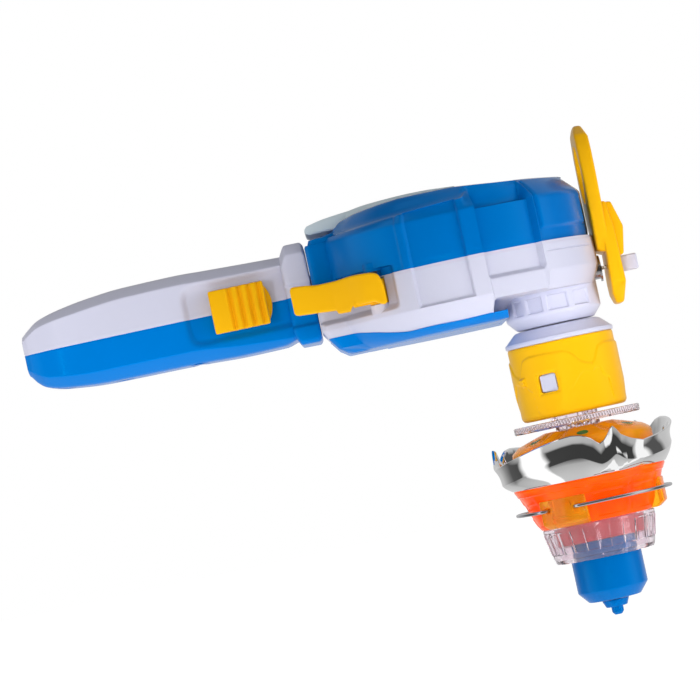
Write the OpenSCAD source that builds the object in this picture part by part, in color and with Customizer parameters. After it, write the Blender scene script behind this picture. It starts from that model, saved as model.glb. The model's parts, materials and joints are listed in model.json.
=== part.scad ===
// A hand-held string launcher with a spinning top seated in its chuck.
// The origin is on the spin axis, at the mouth of the chuck cup. +Z is up along the spin
// axis, +X points to the pull handle, and the trigger is on the -Y side.

/* [Chuck] */
// Outside radius of the chuck cup
cup_r = 15.5; // [15:0.25:16.5]
// Height of the chuck cup
cup_h = 21.5; // [20:0.5:24]
// Wall of the chuck cup
cup_wall = 1.8; // [1.4:0.2:2.2]
// Height of the white collar on the cup
collar_h = 4.6; // [3.6:0.2:6]
// Width of each square window in the cup
window_w = 5.6; // [4:0.2:7]
// Height of each square window in the cup
window_h = 5.4; // [4:0.2:7]
// Height of the window's centre over the cup's mouth
window_z = 10; // [8:0.5:12]
// Windows around the cup
window_count = 4; // [2:1:5]
// Outside radius of the hollow chuck shaft
shaft_r = 3; // [2.6:0.1:3.2]
// Radius of the release rod
rod_r = 1.5; // [1.2:0.1:1.6]

/* [Body] */
// Radius of the round body
body_r = 40.6; // [40:0.2:43]
// Distance from the spin axis forward to the front of the body
front_reach = 15.6; // [15:0.1:17]
// Wall of the body shells
shell_wall = 2.6; // [2.2:0.2:3]
// Radius of the neck over the chuck
neck_r = 13.9; // [13:0.25:14.5]
// Height of the neck
neck_h = 5.6; // [4.6:0.2:7]
// Height of the white lower shell, neck left out
lower_h = 17.3; // [16.9:0.1:18.5]
// Height of the blue side wall
wall_h = 13.5; // [13:0.25:16]
// Height of the crown over the side wall
crown_h = 6.2; // [5.4:0.2:7]
// Height of the bevelled front deck over the side wall
front_h = 4.6; // [3.8:0.2:5.2]
// How far the flat rear face stands behind the round wall
rear_out = 1.1; // [0.6:0.1:3]
// Width of the rear block
rear_w = 38; // [36:0.5:41]
// Depth of the recessed side panels
panel_depth = 1.6; // [0.8:0.2:1.8]
// Thickness of the grey top plate
plate_t = 4; // [3:0.25:5]
// Thickness of the blue bottom plate
base_t = 1.8; // [1.4:0.2:2.4]

/* [Handle] */
// Length of the handle behind its collar
handle_len = 78; // [70:1:90]
// Width of the handle
handle_w = 29; // [28:0.5:34]
// Height of the handle over the parting plane
handle_up = 13.6; // [12.6:0.2:15]
// Depth of the handle under the parting plane
handle_low = 13.2; // [12.2:0.2:14]
// Wall of the handle shells
handle_wall = 2.2; // [1.8:0.1:2.6]
// Length of the collar
collar_len = 7; // [6:0.5:9]
// Width of the collar
collar_w = 33; // [32:0.5:36]
// How far the collar stands over the handle
collar_lip = 1.6; // [1:0.2:2.4]
// Length of the tongue that the handle slides on
tongue_len = 25; // [20:1:30]
// Height of the tongue
tongue_h = 11; // [9:0.5:13]

/* [Slide button] */
// Length of the button's finger plate
button_l = 16; // [14:0.5:18]
// Height of the button's finger plate
button_h = 12.5; // [11:0.5:14]
// Thickness of the button's finger plate
button_t = 3.2; // [2.4:0.2:4]
// Radius of the round base behind the finger plate
button_base_r = 9.5; // [8.5:0.25:9.8]
// Travel of the button
button_travel = 4; // [3:0.5:5]

/* [Trigger] */
// Length of the trigger from its pivot to its free end
trigger_len = 24.2; // [22:0.5:26]
// Height of the trigger
trigger_h = 9; // [8.6:0.2:10]
// Thickness of the trigger
trigger_t = 3; // [2.4:0.2:3.4]
// Radius of the trigger's pin
trigger_pin_r = 1.25; // [1:0.05:1.3]
// Radius of the trigger's knuckle
knuckle_r = 2.7; // [2.5:0.1:2.9]
// Length of the trigger's inner arm
arm_len = 8; // [7.5:0.1:8.2]

/* [Gears and reel] */
// Thickness of the gears
gear_t = 4; // [3:0.25:4.5]
// Radius of the reel's axle
axle_r = 2; // [1.6:0.1:2.4]
// Thickness of the string
string_d = 1.2; // [1:0.1:1.3]
// Height of the string's way out over the bottom of the white shell
string_h = 7.5; // [7:0.1:8]

/* [Pull handle] */
// Height of the pull handle
pull_h = 53; // [48:1:58]
// Width of the pull handle
pull_w = 27; // [25:0.5:32]
// Thickness of the pull handle's plates
pull_t = 3.6; // [3:0.2:4.2]
// Radius of the finger hole
finger_r = 8.6; // [7.5:0.2:9.4]
// How far the pull handle reaches under the string
pull_drop = 11.1; // [9:0.3:13]

/* [Spinning top] */
// Radius of the clear launch disc
disc_r = 18.5; // [17:0.5:20]
// Outside radius of the metal ring
blade_r = 27; // [26:0.25:29]
// Radius of the metal ring's lower edge
blade_low_r = 22.7; // [22.2:0.25:24]
// Height of the metal ring at its lowest
blade_h = 7.4; // [6:0.2:9]
// Height of the ring's crests over its valleys
crest_h = 5.7; // [3:0.3:6.3]
// Radius of the steel wire ring
wire_r = 22.6; // [22:0.2:23]
// Thickness of the steel wire ring
wire_d = 1.4; // [1:0.1:1.8]
// Height of the orange bowl
bowl_h = 12.6; // [11.5:0.3:14]
// Radius of the bowl's floor
bowl_low_r = 16.9; // [16.5:0.3:18]
// Height of the clear ribbed ring
ribbed_h = 10.6; // [9:0.3:12]
// Ribs around the clear ring
rib_count = 24; // [12:1:30]
// Radius of the blue tip housing
tip_case_r = 10.3; // [9.6:0.1:10.8]
// Height of the tip housing under the ribbed ring
tip_case_h = 12.7; // [11.2:0.3:14]
// Length of the tip under its housing
tip_len = 4.8; // [4:0.2:6]

/* [Fits] */
// Running clearance of shafts in bores
run_gap = 0.06; // [0.04:0.01:0.09]
// Clearance between pieces that move past each other
move_gap = 0.3; // [0.3:0.05:0.4]
// Clearance between pieces that are fitted together
seat_gap = 0.1; // [0.05:0.05:0.15]

/* [Hidden] */
$fn = 96;
cut = 0.5;

// Heights, from the cup's mouth up
neck_z = cup_h + collar_h + move_gap;
shell_z = neck_z + neck_h;
parting_z = shell_z + lower_h;
side_top_z = parting_z + wall_h;
crown_z = side_top_z + crown_h;
front_z = side_top_z + front_h;
base_z = shell_z - base_t;
string_z = shell_z + string_h;
floor_z = shell_z + shell_wall;
deck_z = crown_z - plate_t * 0.75;
roof_z = deck_z - shell_wall;

// Teeth on the reel gear and the pinion: the record's ratio of four goes with them
gear_teeth = 48;
pinion_teeth = 12;

// Places along X, and gears as large as the body takes
front_x = front_reach;
body_x = front_x - body_r;
rear_x = body_x - body_r - rear_out;
inner_r = body_r - shell_wall;
gear_room = 8.2;
addendum_share = 0.8;
gear_module = (body_r - body_x - shell_wall - gear_room)
    / (gear_teeth + pinion_teeth / 2 + addendum_share);
gear_r = gear_module * gear_teeth / 2;
pinion_r = gear_module * pinion_teeth / 2;
reel_x = -(gear_r + pinion_r);
lead_end_x = front_x - shell_wall;
collar_front_x = rear_x - move_gap;
handle_x = collar_front_x - collar_len;
butt_x = handle_x - handle_len;

// Lower shell
low_bevel_w = 4.6;
low_bevel_h = 5.7;
rear_lift = 2.8;
panel_low = 9.2;
ledge_low = 5;
ledge_step = 0.8;
seam = 0.35;
neck_bevel = 3;
neck_rib_w = 1.4;
neck_rib_h = 2.3;
neck_rib_angles = [-150, -128, -100, -68, -40];

// Upper shell
front_bevel = 4.8;
front_rise = 0.9;
crown_in = 7.1;
crown_r = body_r - crown_in;
rim_w = 3.3;
rim_drop = 3;
shoulder_bevel = 1;
rear_step = 0.7;
crown_tilt = 11.5;

// Angles of the side panels around the body, from +X towards the trigger side
rib_a = -111;
rib_span = 2;
panel_b_a = -86;
panel_c_a = -79;
panel_d_a = -53;
panel_edge = 1.2;
front_a = -83;
panel_top = 2;

// Screws
screw_r = 1.4;
screw_head_r = 2.6;
screw_head_t = 1.6;
boss_r = 3.4;
body_screw_shares = [[-0.79, -0.235], [-0.63, 0.52], [0.42, 0.56], [0.42, -0.56]];
screw_gap = 0.15;

// Reel
spool_low = floor_z + move_gap;
spool_flange_t = 1;
flange_share = 0.65;
flange_r = gear_r * flange_share;
wound_share = 0.833;
wound_r = flange_r * wound_share;
spool_core_share = 0.61;
spool_core_r = flange_r * spool_core_share;
spool_high = 2 * string_z - spool_low;
gear_z = spool_high + move_gap / 3;
gear_top_z = gear_z + gear_t;
housing_low = gear_top_z + move_gap;
housing_h = 9.5;
housing_share = 0.6875;
housing_r = gear_r * housing_share;
housing_top = housing_low + housing_h;
housing_wall = 1.2;
arbour_r = 4.2;
axle_boss_r = 6;

// Gear teeth, as shares of the module and of the tooth pitch
dedendum_share = 1.1;
tip_share = 0.15;
pitch_share = 0.4;
root_share = 0.58;

// Chuck
bush_wall = 2.4;
bush_flange_t = 1;
bush_flange_r = 7.2;
upper_bush_h = 5;
shaft_low = 12.5;
shaft_drop = 3;
shaft_high = housing_top - shaft_drop;
cup_bevel = 1.5;
cup_roof_t = 1.8;
core_r = cup_r - cup_wall - seat_gap;
core_wall = 1.4;
core_low = 3;
core_step = 13;
core_high = cup_h - cup_roof_t;
tab_gap = 0.45;
tab_sink = 0.5;
window_turn = -115;
relief_t = 0.45;
relief_shares = [[-0.9, 0.61], [-0.78, 0.83], [-0.64, 0.86], [-0.03, 0.84], [0.07, 0.8],
    [0.265, 0.655], [0.48, 0.62], [0.53, 0.665], [0.76, 0.655], [0.9, 0.68]];
head_r = 9;
head_t = 4;
prong_r = 1.3;
prong_len = 9.5;
prong_ring_r = 7.4;
prong_count = 3;

// Release
link_t = 2;
link_w = 5;
link_z = housing_top + move_gap;
post_w = 2;
rod_low = 8;
rod_head_r = 2.5;
rod_top = link_z + link_t / 2;
rod_travel = 1.4;
rod_head_low = shaft_high + rod_travel + 2 * move_gap;

// Trigger
pivot_a = -128.85;
pivot_in = 2.34;
pivot_x = body_x + (body_r - pivot_in) * cos(pivot_a);
pivot_y = (body_r - pivot_in) * sin(pivot_a);
trigger_z = parting_z + 1.4 - trigger_h;
pocket_gap = 0.7;
arm_w = 2.4;
arm_h = 4;
arm_z = gear_z;
spring_h = 2.2;
bow_shares = [[-0.085, -0.225], [0.13, -0.155], [0.39, 0.03], [0.62, 0.15], [1, 0.2]];

// Handle outlines: share of the length from the collar, share of the height
top_shares = [[0, 0.91], [0.3, 0.975], [0.4, 1], [0.6, 0.985], [0.73, 0.92], [0.85, 0.81],
    [0.935, 0.68], [1, 0.42]];
low_shares = [[1, -0.47], [0.95, -0.765], [0.88, -0.86], [0.71, -0.947], [0.38, -0.96],
    [0.2, -1], [0.05, -0.99], [0, -0.91]];
plan_shares = [[0, 0.5], [0.8, 0.5], [0.94, 0.42], [1, 0.3]];
grip_x_share = 0.39;
grip_depth = 1.4;
handle_bevel = 3.4;
bevel_low = 3.2;
floor_gap = 0.4;
collar_step = 1;
collar_foot = 4.2;
handle_screw_shares = [[0.375, -0.23], [0.375, 0.23], [0.66, 0], [0.88, 0]];
button_x_share = 0.185;
button_drop = 0.3;
button_ribs = 4;
rib_d = 1.5;
stem_w = 5;
catch_t = 1.6;
catch_d = 2;
tongue_w = handle_w - 2 * (grip_depth + handle_wall + 3 * move_gap + catch_d);
detent_t = 1.4;

// Pull handle
pull_gap = 1.1;
pull_x = front_x + pull_gap;
pull_z = string_z - pull_drop;
upper_low_share = 0.3;
lower_high_share = 0.56;
boss_low_share = 0.25;
upper_back = 1.5;
boss_out = 3;
boss_w_share = 0.45;
hole_z_share = 0.72;
pull_bevel = 3;
pull_sides = 48;
anchor_l = 2.8;
anchor_w = 4.6;

// Eyelet
eye_r = 3;
eye_lip_r = 3.8;
eye_lip_t = 0.5;
eye_bore_r = 1.1;

// Spinning top, from the cup's mouth down
disc_z = -2.4;
disc_t = 1.3;
hub_r = 6;
hub_low = -8;
hub_notches = 12;
spigot_r = 4.6;
spigot_h = 6.2;
cap_z = -4.2;
cap_rim_z = -8;
cap_r = 20.6;
cap_low_z = -17;
cap_wall = 1.6;
ring_low_z = -18.7;
ring_in_r = cap_r + seat_gap;
ring_steps = 90;
ring_fold = 120;
ring_turn = 37.4;
ring_wall = 1.4;
ring_waist_r = 25.4;
ring_waist_share = 0.55;
ring_shares = [[0, 0], [0.3, 0.45], [0.55, 0.86], [0.633, 0.9], [0.7, 0.72], [0.751, 0.25],
    [0.8, 0.55], [0.836, 1], [0.87, 0.55], [0.93, 0.2], [1, 0]];
bowl_step = 0.5;
bowl_top_r = blade_low_r - bowl_step;
bowl_z = ring_low_z;
bowl_low_z = bowl_z - bowl_h;
bowl_wall = 1.5;
wire_z = -25.8;
wire_turn = -121.5;
wire_span = 335;
lug_count = 3;
lug_out = 3.9;
lug_r = bowl_low_r + lug_out;
lug_a = 21;
lug_h = 8.4;
core_top_r = 12;
red_r = 13.2;
ribbed_z = bowl_low_z - seat_gap;
ribbed_low_z = ribbed_z - ribbed_h;
ribbed_top_r = 16.3;
ribbed_low_r = 14.3;
ribbed_wall = 1.5;
rib_t = 0.7;
tip_low_z = ribbed_low_z - tip_case_h;
tip_neck_r = tip_case_r - 3 * move_gap;
tip_bevel_h = 3.2;
tip_bevel_w = 2.7;
tip_shoulder_r = 4;
tip_r = 3.1;
tip_end_r = 1.75;
tip_pin_r = 1.2;
tip_pin_h = 8;
bearing_r = 3.6;
bearing_h = 3.6;
gem_count = 6;
gem_r = 1.7;
gem_ring_r = 15.5;

// Shapes used again and again
module tube(outer, inner, low, high) {
    difference() {
        translate([0, 0, low]) cylinder(r = outer, h = high - low);
        translate([0, 0, low - cut]) cylinder(r = inner, h = high - low + 2 * cut);
    }
}

module post(r, low, high) {
    translate([0, 0, low]) cylinder(r = r, h = high - low);
}

module arc(inner, outer, from, to, low, high) {
    rotate([0, 0, from]) rotate_extrude(angle = to - from)
        translate([inner, low]) square([outer - inner, high - low]);
}

module block(low, high) {
    translate(low) cube(high - low);
}

module at_body() {
    translate([body_x, 0, 0]) children();
}

module at_reel() {
    translate([reel_x, 0, 0]) children();
}

module both_sides() {
    children();
    mirror([0, 1, 0]) children();
}

// A side outline in X and Z, pulled out along Y to a full width
module side_slab(points, width) {
    translate([0, width / 2, 0]) rotate([90, 0, 0]) linear_extrude(width) polygon(points);
}

function tooth(r, pitch_a, i) = [
    for (p = [[-root_share / 2, -dedendum_share], [-pitch_share / 2, 0],
              [-tip_share / 2, addendum_share], [tip_share / 2, addendum_share],
              [pitch_share / 2, 0], [root_share / 2, -dedendum_share]])
        let (a = (i + p[0]) * pitch_a, d = r + p[1] * gear_module) [d * cos(a), d * sin(a)]];

module gear_plate(teeth, turn, thick) {
    r = gear_module * teeth / 2;
    points = [for (i = [0 : teeth - 1]) each tooth(r, 360 / teeth, i)];
    rotate([0, 0, turn]) linear_extrude(thick) polygon(points);
}

// Body shells
module rear_outline(inset, low, high) {
    half = rear_w / 2 - inset;
    block([rear_x + inset, -half, low], [body_x, half, high]);
}

module lower_form(inset) {
    low = shell_z + inset;
    at_body() rotate_extrude() polygon([
        [0, low],
        [body_r - low_bevel_w - inset, low],
        [body_r - inset, shell_z + low_bevel_h + inset / 2],
        [body_r - inset, parting_z + (inset > 0 ? cut : 0)],
        [0, parting_z + (inset > 0 ? cut : 0)]]);
    rear_outline(inset, low + rear_lift, parting_z + (inset > 0 ? cut : 0));
}

module neck_form() {
    rotate_extrude() polygon([
        [0, neck_z],
        [neck_r - neck_bevel, neck_z],
        [neck_r, neck_z + neck_bevel * 1.4],
        [neck_r, shell_z + low_bevel_h],
        [0, shell_z + low_bevel_h]]);
}

module neck_ribs() {
    for (a = neck_rib_angles)
        rotate([0, 0, a]) block(
            [neck_r - neck_rib_w, -neck_rib_w / 2, neck_z + neck_bevel],
            [neck_r + seam, neck_rib_w / 2, neck_z + neck_bevel + neck_rib_h]);
}

// The recessed panels between the ribs of the round wall, on one side
module wall_panels(low, ledge, high) {
    at_body() {
        arc(body_r - ledge_step, body_r + cut, rib_a + rib_span, panel_b_a, ledge, high);
        arc(body_r - panel_depth, body_r + cut, panel_c_a, panel_d_a, ledge, high);
        arc(body_r - ledge_step, body_r + cut, panel_c_a + panel_edge,
            panel_d_a - panel_edge, low, ledge - ledge_step);
    }
}

module trigger_pocket() {
    low = trigger_z - pocket_gap;
    high = trigger_z + trigger_h + pocket_gap;
    translate([pivot_x, pivot_y, 0]) {
        post(knuckle_r + pocket_gap, low, high);
        block([rear_x - pivot_x - cut, -body_r / 2, low], [0, knuckle_r, high]);
        block([-cut, -body_r / 2, low], [knuckle_r + pocket_gap, 0, high]);
        block([-arm_w / 2 - pocket_gap, 0, arm_z - pocket_gap],
            [arm_w / 2 + 2 * pocket_gap + post_w, arm_len, arm_z + arm_h + pocket_gap]);
    }
}

module pocket_back() {
    at_body() post(body_r - 3 * shell_wall / 2, shell_z, side_top_z);
    block([rear_x - cut, -rear_w / 2 + seat_gap, shell_z],
        [body_x, rear_w / 2, side_top_z]);
}

module at_screws() {
    for (p = body_screw_shares)
        translate([body_x + p[0] * body_r, p[1] * body_r, 0]) children();
}

module body_lower_shell() {
    color("ghostwhite") difference() {
        union() {
            difference() {
                union() {
                    lower_form(0);
                    neck_form();
                }
                difference() {
                    lower_form(shell_wall);
                    block([rear_x - cut, -body_r, shell_z],
                        [rear_x + shell_wall, body_r, parting_z + 2 * cut]);
                }
                both_sides() wall_panels(shell_z + ledge_low, shell_z + panel_low,
                    parting_z + cut);
                neck_ribs();
            }
            at_screws() post(boss_r, shell_z, gear_z);
            at_reel() post(axle_r * 2, shell_z, floor_z + move_gap / 2);
            post(bush_flange_r, neck_z, floor_z);
            translate([pivot_x, pivot_y, 0])
                post(knuckle_r + pocket_gap, floor_z - cut, trigger_z - pocket_gap);
        }
        difference() {
            trigger_pocket();
            pocket_back();
        }
        translate([pivot_x, pivot_y, 0]) {
            post(knuckle_r + pocket_gap, trigger_z - pocket_gap, parting_z + cut);
            post(trigger_pin_r, trigger_z - pocket_gap - shell_wall, parting_z);
            block([-arm_w / 2 - pocket_gap, 0, arm_z - pocket_gap],
                [arm_w + 3 * pocket_gap + post_w, arm_len + pocket_gap, parting_z + cut]);
        }
        at_screws() post(screw_r + screw_gap, shell_z - cut, gear_z + cut);
        at_screws() post(screw_head_r + screw_gap, shell_z - cut, shell_z + screw_head_t);
        at_reel() post(axle_r + run_gap / 2, shell_z + base_t / 2, floor_z + cut);
        post(shaft_r + bush_wall + run_gap / 2, neck_z + bush_flange_t, floor_z + cut);
        post(shaft_r + 2 * move_gap, neck_z - cut, floor_z);
        tongue_window();
        translate([0, 0, string_z]) rotate([0, 90, 0]) post(eye_r, 0, front_x + cut);
    }
}

module tongue_window() {
    block([rear_x - cut, -tongue_w / 2 - seat_gap, parting_z - tongue_h / 2 - seat_gap],
        [rear_x + shell_wall + cut, tongue_w / 2 + seat_gap,
            parting_z + tongue_h / 2 + seat_gap]);
}

module upper_form() {
    at_body() difference() {
        rotate_extrude() polygon([
            [0, parting_z],
            [body_r, parting_z],
            [body_r, side_top_z - front_rise],
            [body_r - front_bevel, front_z - front_rise],
            [body_r - 2 * front_bevel, front_z],
            [0, front_z]]);
        rotate([0, 0, -front_a]) rotate_extrude(angle = 360 + 2 * front_a) polygon([
            [0, side_top_z],
            [body_r - shoulder_bevel, side_top_z],
            [body_r + cut, side_top_z - shoulder_bevel - cut],
            [body_r + cut, crown_z],
            [0, crown_z]]);
    }
    rear_outline(0, parting_z, side_top_z - rear_step);
    rear_outline(rim_w, side_top_z - rear_step - cut, deck_z);
    difference() {
        at_body() post(crown_r, side_top_z - cut, crown_z);
        block([body_x, -body_r, front_z], [front_x + cut, body_r, crown_z + cut]);
        translate([body_x - crown_r / 2, -body_r, crown_z]) rotate([0, -crown_tilt, 0])
            block([-body_r, 0, 0], [0, 2 * body_r, crown_h]);
    }
}

module plate_outline(grow, low, high) {
    intersection() {
        union() {
            at_body() post(crown_r - rim_w + grow, low, high);
            rear_outline(rim_w + rear_step - grow, low, high);
        }
        block([rear_x - cut, -body_r, low], [body_x + 2 * grow, body_r, high]);
    }
}

module body_upper_shell() {
    color("dodgerblue") difference() {
        union() {
            difference() {
                upper_form();
                at_body() post(inner_r, parting_z - cut, side_top_z - shell_wall);
                at_body() post(crown_r - shell_wall, parting_z, roof_z);
                rear_outline(shell_wall, parting_z - cut, side_top_z - rear_step - shell_wall);
                plate_outline(seat_gap, deck_z, crown_z + cut);
                both_sides() {
                    wall_panels(parting_z, parting_z - cut, side_top_z - panel_top);
                    at_body() arc(body_r - 2 * panel_depth, body_r + cut,
                        panel_c_a + panel_edge, panel_d_a - panel_edge,
                        side_top_z - panel_top, front_z - 3 * front_rise);
                }
            }
            at_screws() post(boss_r, gear_z + seat_gap, roof_z + cut);
            at_reel() post(axle_boss_r, housing_top + seat_gap, roof_z + cut);
            post(shaft_r + bush_wall + shell_wall, shaft_high - upper_bush_h, roof_z + cut);
            translate([pivot_x, pivot_y, 0])
                post(knuckle_r, trigger_z + trigger_h + pocket_gap / 2,
                    trigger_z + trigger_h + 3 * pocket_gap + shell_wall);
        }
        difference() {
            trigger_pocket();
            pocket_back();
        }
        translate([pivot_x, pivot_y, 0]) {
            post(knuckle_r + pocket_gap, parting_z - cut,
                trigger_z + trigger_h + pocket_gap);
            post(trigger_pin_r, parting_z, trigger_z + trigger_h + pocket_gap + shell_wall);
        }
        at_screws() post(screw_r, gear_z, roof_z);
        at_reel() post(axle_r + run_gap / 2, housing_top, roof_z);
        post(shaft_r + bush_wall + run_gap / 2, shaft_high - upper_bush_h - cut, shaft_high);
        block([-boss_r * 3, -link_w / 2 - 2 * move_gap, shaft_high],
            [boss_r * 3, link_w / 2 + 2 * move_gap, rod_top + rod_head_r + 2 * move_gap]);
        translate([0, 0, link_z]) link_path(3 * move_gap, link_t + 2 * move_gap);
        tongue_window();
    }
}

module top_plate() {
    color("silver") {
        difference() {
            union() {
                at_body() rotate_extrude() polygon([
                    [0, deck_z],
                    [crown_r - rim_w, deck_z],
                    [crown_r - rim_w, crown_z - rim_drop / 2],
                    [crown_r - 2 * rim_w, deck_z + plate_t],
                    [0, deck_z + plate_t]]);
                side_slab([
                    [rear_x + rear_step, deck_z],
                    [body_x, deck_z],
                    [body_x, deck_z + plate_t],
                    [rear_x + rear_step + plate_t, deck_z + plate_t],
                    [rear_x + rear_step, deck_z + rear_step]],
                    rear_w - 2 * rim_w - 2 * rear_step);
            }
            block([body_x, -body_r, deck_z - cut], [front_x, body_r, crown_z + plate_t]);
        }
    }
}

module bottom_plate() {
    color("deepskyblue") difference() {
        union() {
            at_body() rotate_extrude() polygon([
                [0, base_z],
                [body_r - low_bevel_w - base_t, base_z],
                [body_r - low_bevel_w, shell_z],
                [0, shell_z]]);
            side_slab([
                [body_x, base_z],
                [rear_x + 2 * rear_lift, base_z],
                [rear_x + rear_step, shell_z + rear_lift - base_t / 2],
                [rear_x + rear_step, shell_z + rear_lift],
                [rear_x + 2 * rear_lift, shell_z],
                [body_x, shell_z]],
                rear_w - 2 * rear_lift);
        }
        lower_rear();
        block([-neck_r - seam, -body_r, base_z - cut], [front_x, body_r, shell_z + cut]);
        at_screws() post(screw_head_r + 2 * screw_gap, base_z - cut, shell_z + cut);
    }
}

// The underside of the rear block, which the bottom plate's tab follows
module lower_rear() {
    rear_outline(0, shell_z + rear_lift, parting_z);
    at_body() post(body_r - low_bevel_w, shell_z, parting_z);
    at_body() rotate_extrude() polygon([
        [0, shell_z],
        [body_r - low_bevel_w, shell_z],
        [body_r, shell_z + low_bevel_h],
        [0, shell_z + low_bevel_h]]);
}

module screw(r, head, low, high, head_t) {
    difference() {
        union() {
            post(r, low, high);
            post(head, low, low + head_t);
        }
        for (a = [0, 90]) rotate([0, 0, a])
            block([-head / 2, -r / 4, low - cut], [head / 2, r / 4, low + head_t / 2]);
    }
}

module body_screws() {
    color("gray") at_screws()
        screw(screw_r, screw_head_r, shell_z + seat_gap, parting_z + wall_h / 2,
            screw_head_t - seat_gap);
}

module handle_tongue() {
    low = parting_z - tongue_h / 2;
    high = parting_z + tongue_h / 2;
    color("whitesmoke") difference() {
        union() {
            block([rear_x - tongue_len, -tongue_w / 2, low],
                [rear_x + shell_wall + seat_gap, tongue_w / 2, high]);
            block([rear_x + shell_wall + seat_gap, -tongue_w / 2 - shell_wall,
                    low - shell_wall / 2],
                [rear_x + 2 * shell_wall, tongue_w / 2 + shell_wall, high + shell_wall / 2]);
        }
        both_sides() translate([rear_x - tongue_len * 0.8, tongue_w / 2, 0])
            post(detent_t, low - cut, high + cut);
        block([rear_x - tongue_len + handle_wall, -tongue_w / 2 + handle_wall,
                low + handle_wall],
            [rear_x - handle_wall, tongue_w / 2 - handle_wall, high + cut]);
    }
}

// Shaft, bushes, reel and spring
module bush(low, high, flange_low) {
    tube(shaft_r + bush_wall, shaft_r + run_gap, low, high);
    if (flange_low) tube(bush_flange_r, shaft_r + run_gap, high, high + bush_flange_t);
}

module lower_bush() {
    color("goldenrod") bush(neck_z + bush_flange_t, floor_z, true);
}

module upper_bush() {
    color("goldenrod") bush(shaft_high - upper_bush_h, shaft_high - seat_gap, false);
}

module spring_housing() {
    color("whitesmoke") at_reel() {
        tube(housing_r, housing_r - housing_wall, housing_low, housing_top);
        tube(housing_r, axle_r + run_gap, housing_top - housing_wall, housing_top);
    }
}

module rewind_spring() {
    color("steelblue") at_reel()
        tube(housing_r - housing_wall - seat_gap, arbour_r + move_gap,
            housing_low + move_gap, housing_top - housing_wall - seat_gap);
}

module reel_axle() {
    color("silver") at_reel() post(axle_r, shell_z + base_t / 2, roof_z - seat_gap);
}

module reel_spool() {
    bore = axle_r + run_gap;
    color("orange") at_reel() {
        tube(flange_r, bore, spool_low, spool_low + spool_flange_t);
        tube(spool_core_r, bore, spool_low, spool_high);
        tube(flange_r, bore, spool_high - spool_flange_t, spool_high);
    }
}

module reel_gear() {
    bore = axle_r + run_gap;
    color("whitesmoke") at_reel() difference() {
        union() {
            translate([0, 0, gear_z]) gear_plate(gear_teeth, 0, gear_t);
            post(arbour_r, gear_z, housing_top - housing_wall - move_gap);
        }
        post(bore, gear_z - cut, housing_top);
    }
}

module string_winding() {
    color("white") at_reel() tube(wound_r, spool_core_r + seat_gap / 2,
        spool_low + spool_flange_t + seat_gap, spool_high - spool_flange_t - seat_gap);
}

// The string leaves the winding where the line to the eyelet touches it
module string_lead() {
    off = wound_r + string_d / 2 + move_gap / 2;
    reach = lead_end_x - reel_x;
    a = acos(off / reach);
    color("white") translate([reel_x + off * cos(a), -off * sin(a), string_z])
        rotate([0, 0, 90 - a]) rotate([0, 90, 0])
            cylinder(d = string_d, h = sqrt(reach * reach - off * off) - eye_lip_t);
}

module string_eyelet() {
    color("silver") translate([0, 0, string_z]) rotate([0, 90, 0]) difference() {
        union() {
            post(eye_r, front_x - shell_wall - seat_gap, front_x + eye_lip_t);
            post(eye_lip_r, front_x, front_x + eye_lip_t);
        }
        post(eye_bore_r, 0, front_x + pull_gap);
    }
}

module pull_string() {
    color("white") translate([lead_end_x, 0, string_z]) rotate([0, 90, 0])
        cylinder(d = string_d, h = pull_x + pull_t + upper_back / 2 - lead_end_x);
}

// Pull handle
module pull_handle() {
    high = pull_z + pull_h;
    upper_low = pull_z + pull_h * upper_low_share;
    lower_high = pull_z + pull_h * lower_high_share;
    boss_low = pull_z + pull_h * boss_low_share;
    front = pull_x + pull_t;
    color("gold") difference() {
        union() {
            intersection() {
                side_slab([
                    [pull_x, upper_low + pull_bevel],
                    [pull_x - upper_back / 2, high - pull_bevel],
                    [pull_x - upper_back / 2 + pull_t, high],
                    [front + upper_back / 2, high - 2 * pull_bevel],
                    [front, upper_low]],
                    pull_w);
                translate([pull_x - pull_t, 0, 0]) rotate([0, 90, 0]) hull() {
                    translate([-(high - pull_w / 2), 0, 0])
                        cylinder(d = pull_w, h = 3 * pull_t, $fn = pull_sides);
                    translate([-upper_low, 0, pull_t]) cube(
                        [cut, pull_w * 0.7, 4 * pull_t], center = true);
                }
            }
            intersection() {
                side_slab([
                    [pull_x + seam, pull_z + pull_bevel],
                    [pull_x, pull_z + pull_bevel * 2],
                    [pull_x, lower_high],
                    [front + upper_back, lower_high],
                    [front + upper_back, pull_z + pull_bevel * 2],
                    [front + upper_back * 0.3, pull_z]],
                    pull_w * 0.8);
                translate([pull_x - pull_t, 0, 0]) rotate([0, 90, 0]) linear_extrude(4 * pull_t)
                    polygon([
                        [-pull_z, -pull_w * 0.2],
                        [-pull_z, pull_w * 0.2],
                        [-pull_z - pull_bevel * 2, pull_w * 0.4],
                        [-lower_high, pull_w * 0.4],
                        [-lower_high, -pull_w * 0.4],
                        [-pull_z - pull_bevel * 2, -pull_w * 0.4]]);
            }
            side_slab([
                [front, boss_low],
                [front, lower_high + cut],
                [front + upper_back + pull_bevel / 2, lower_high],
                [front + upper_back + boss_out, (boss_low + lower_high) / 2],
                [front + upper_back + boss_out / 2, boss_low]],
                pull_w * boss_w_share);
        }
        translate([0, 0, pull_z + pull_h * hole_z_share]) rotate([0, 90, 0])
            post(finger_r, pull_x - pull_t, front + 2 * boss_out);
        translate([0, 0, string_z]) rotate([0, 90, 0])
            post(string_d / 2 + seat_gap, pull_x - cut, front + 2 * boss_out);
        anchor_seat(seat_gap, cut);
    }
}

module anchor_seat(gap, out) {
    x = pull_x + pull_t + upper_back / 2;
    half = anchor_w / 2 + gap;
    block([x, -half, string_z - half], [x + boss_out + anchor_l + out, half, string_z + half]);
}

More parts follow.
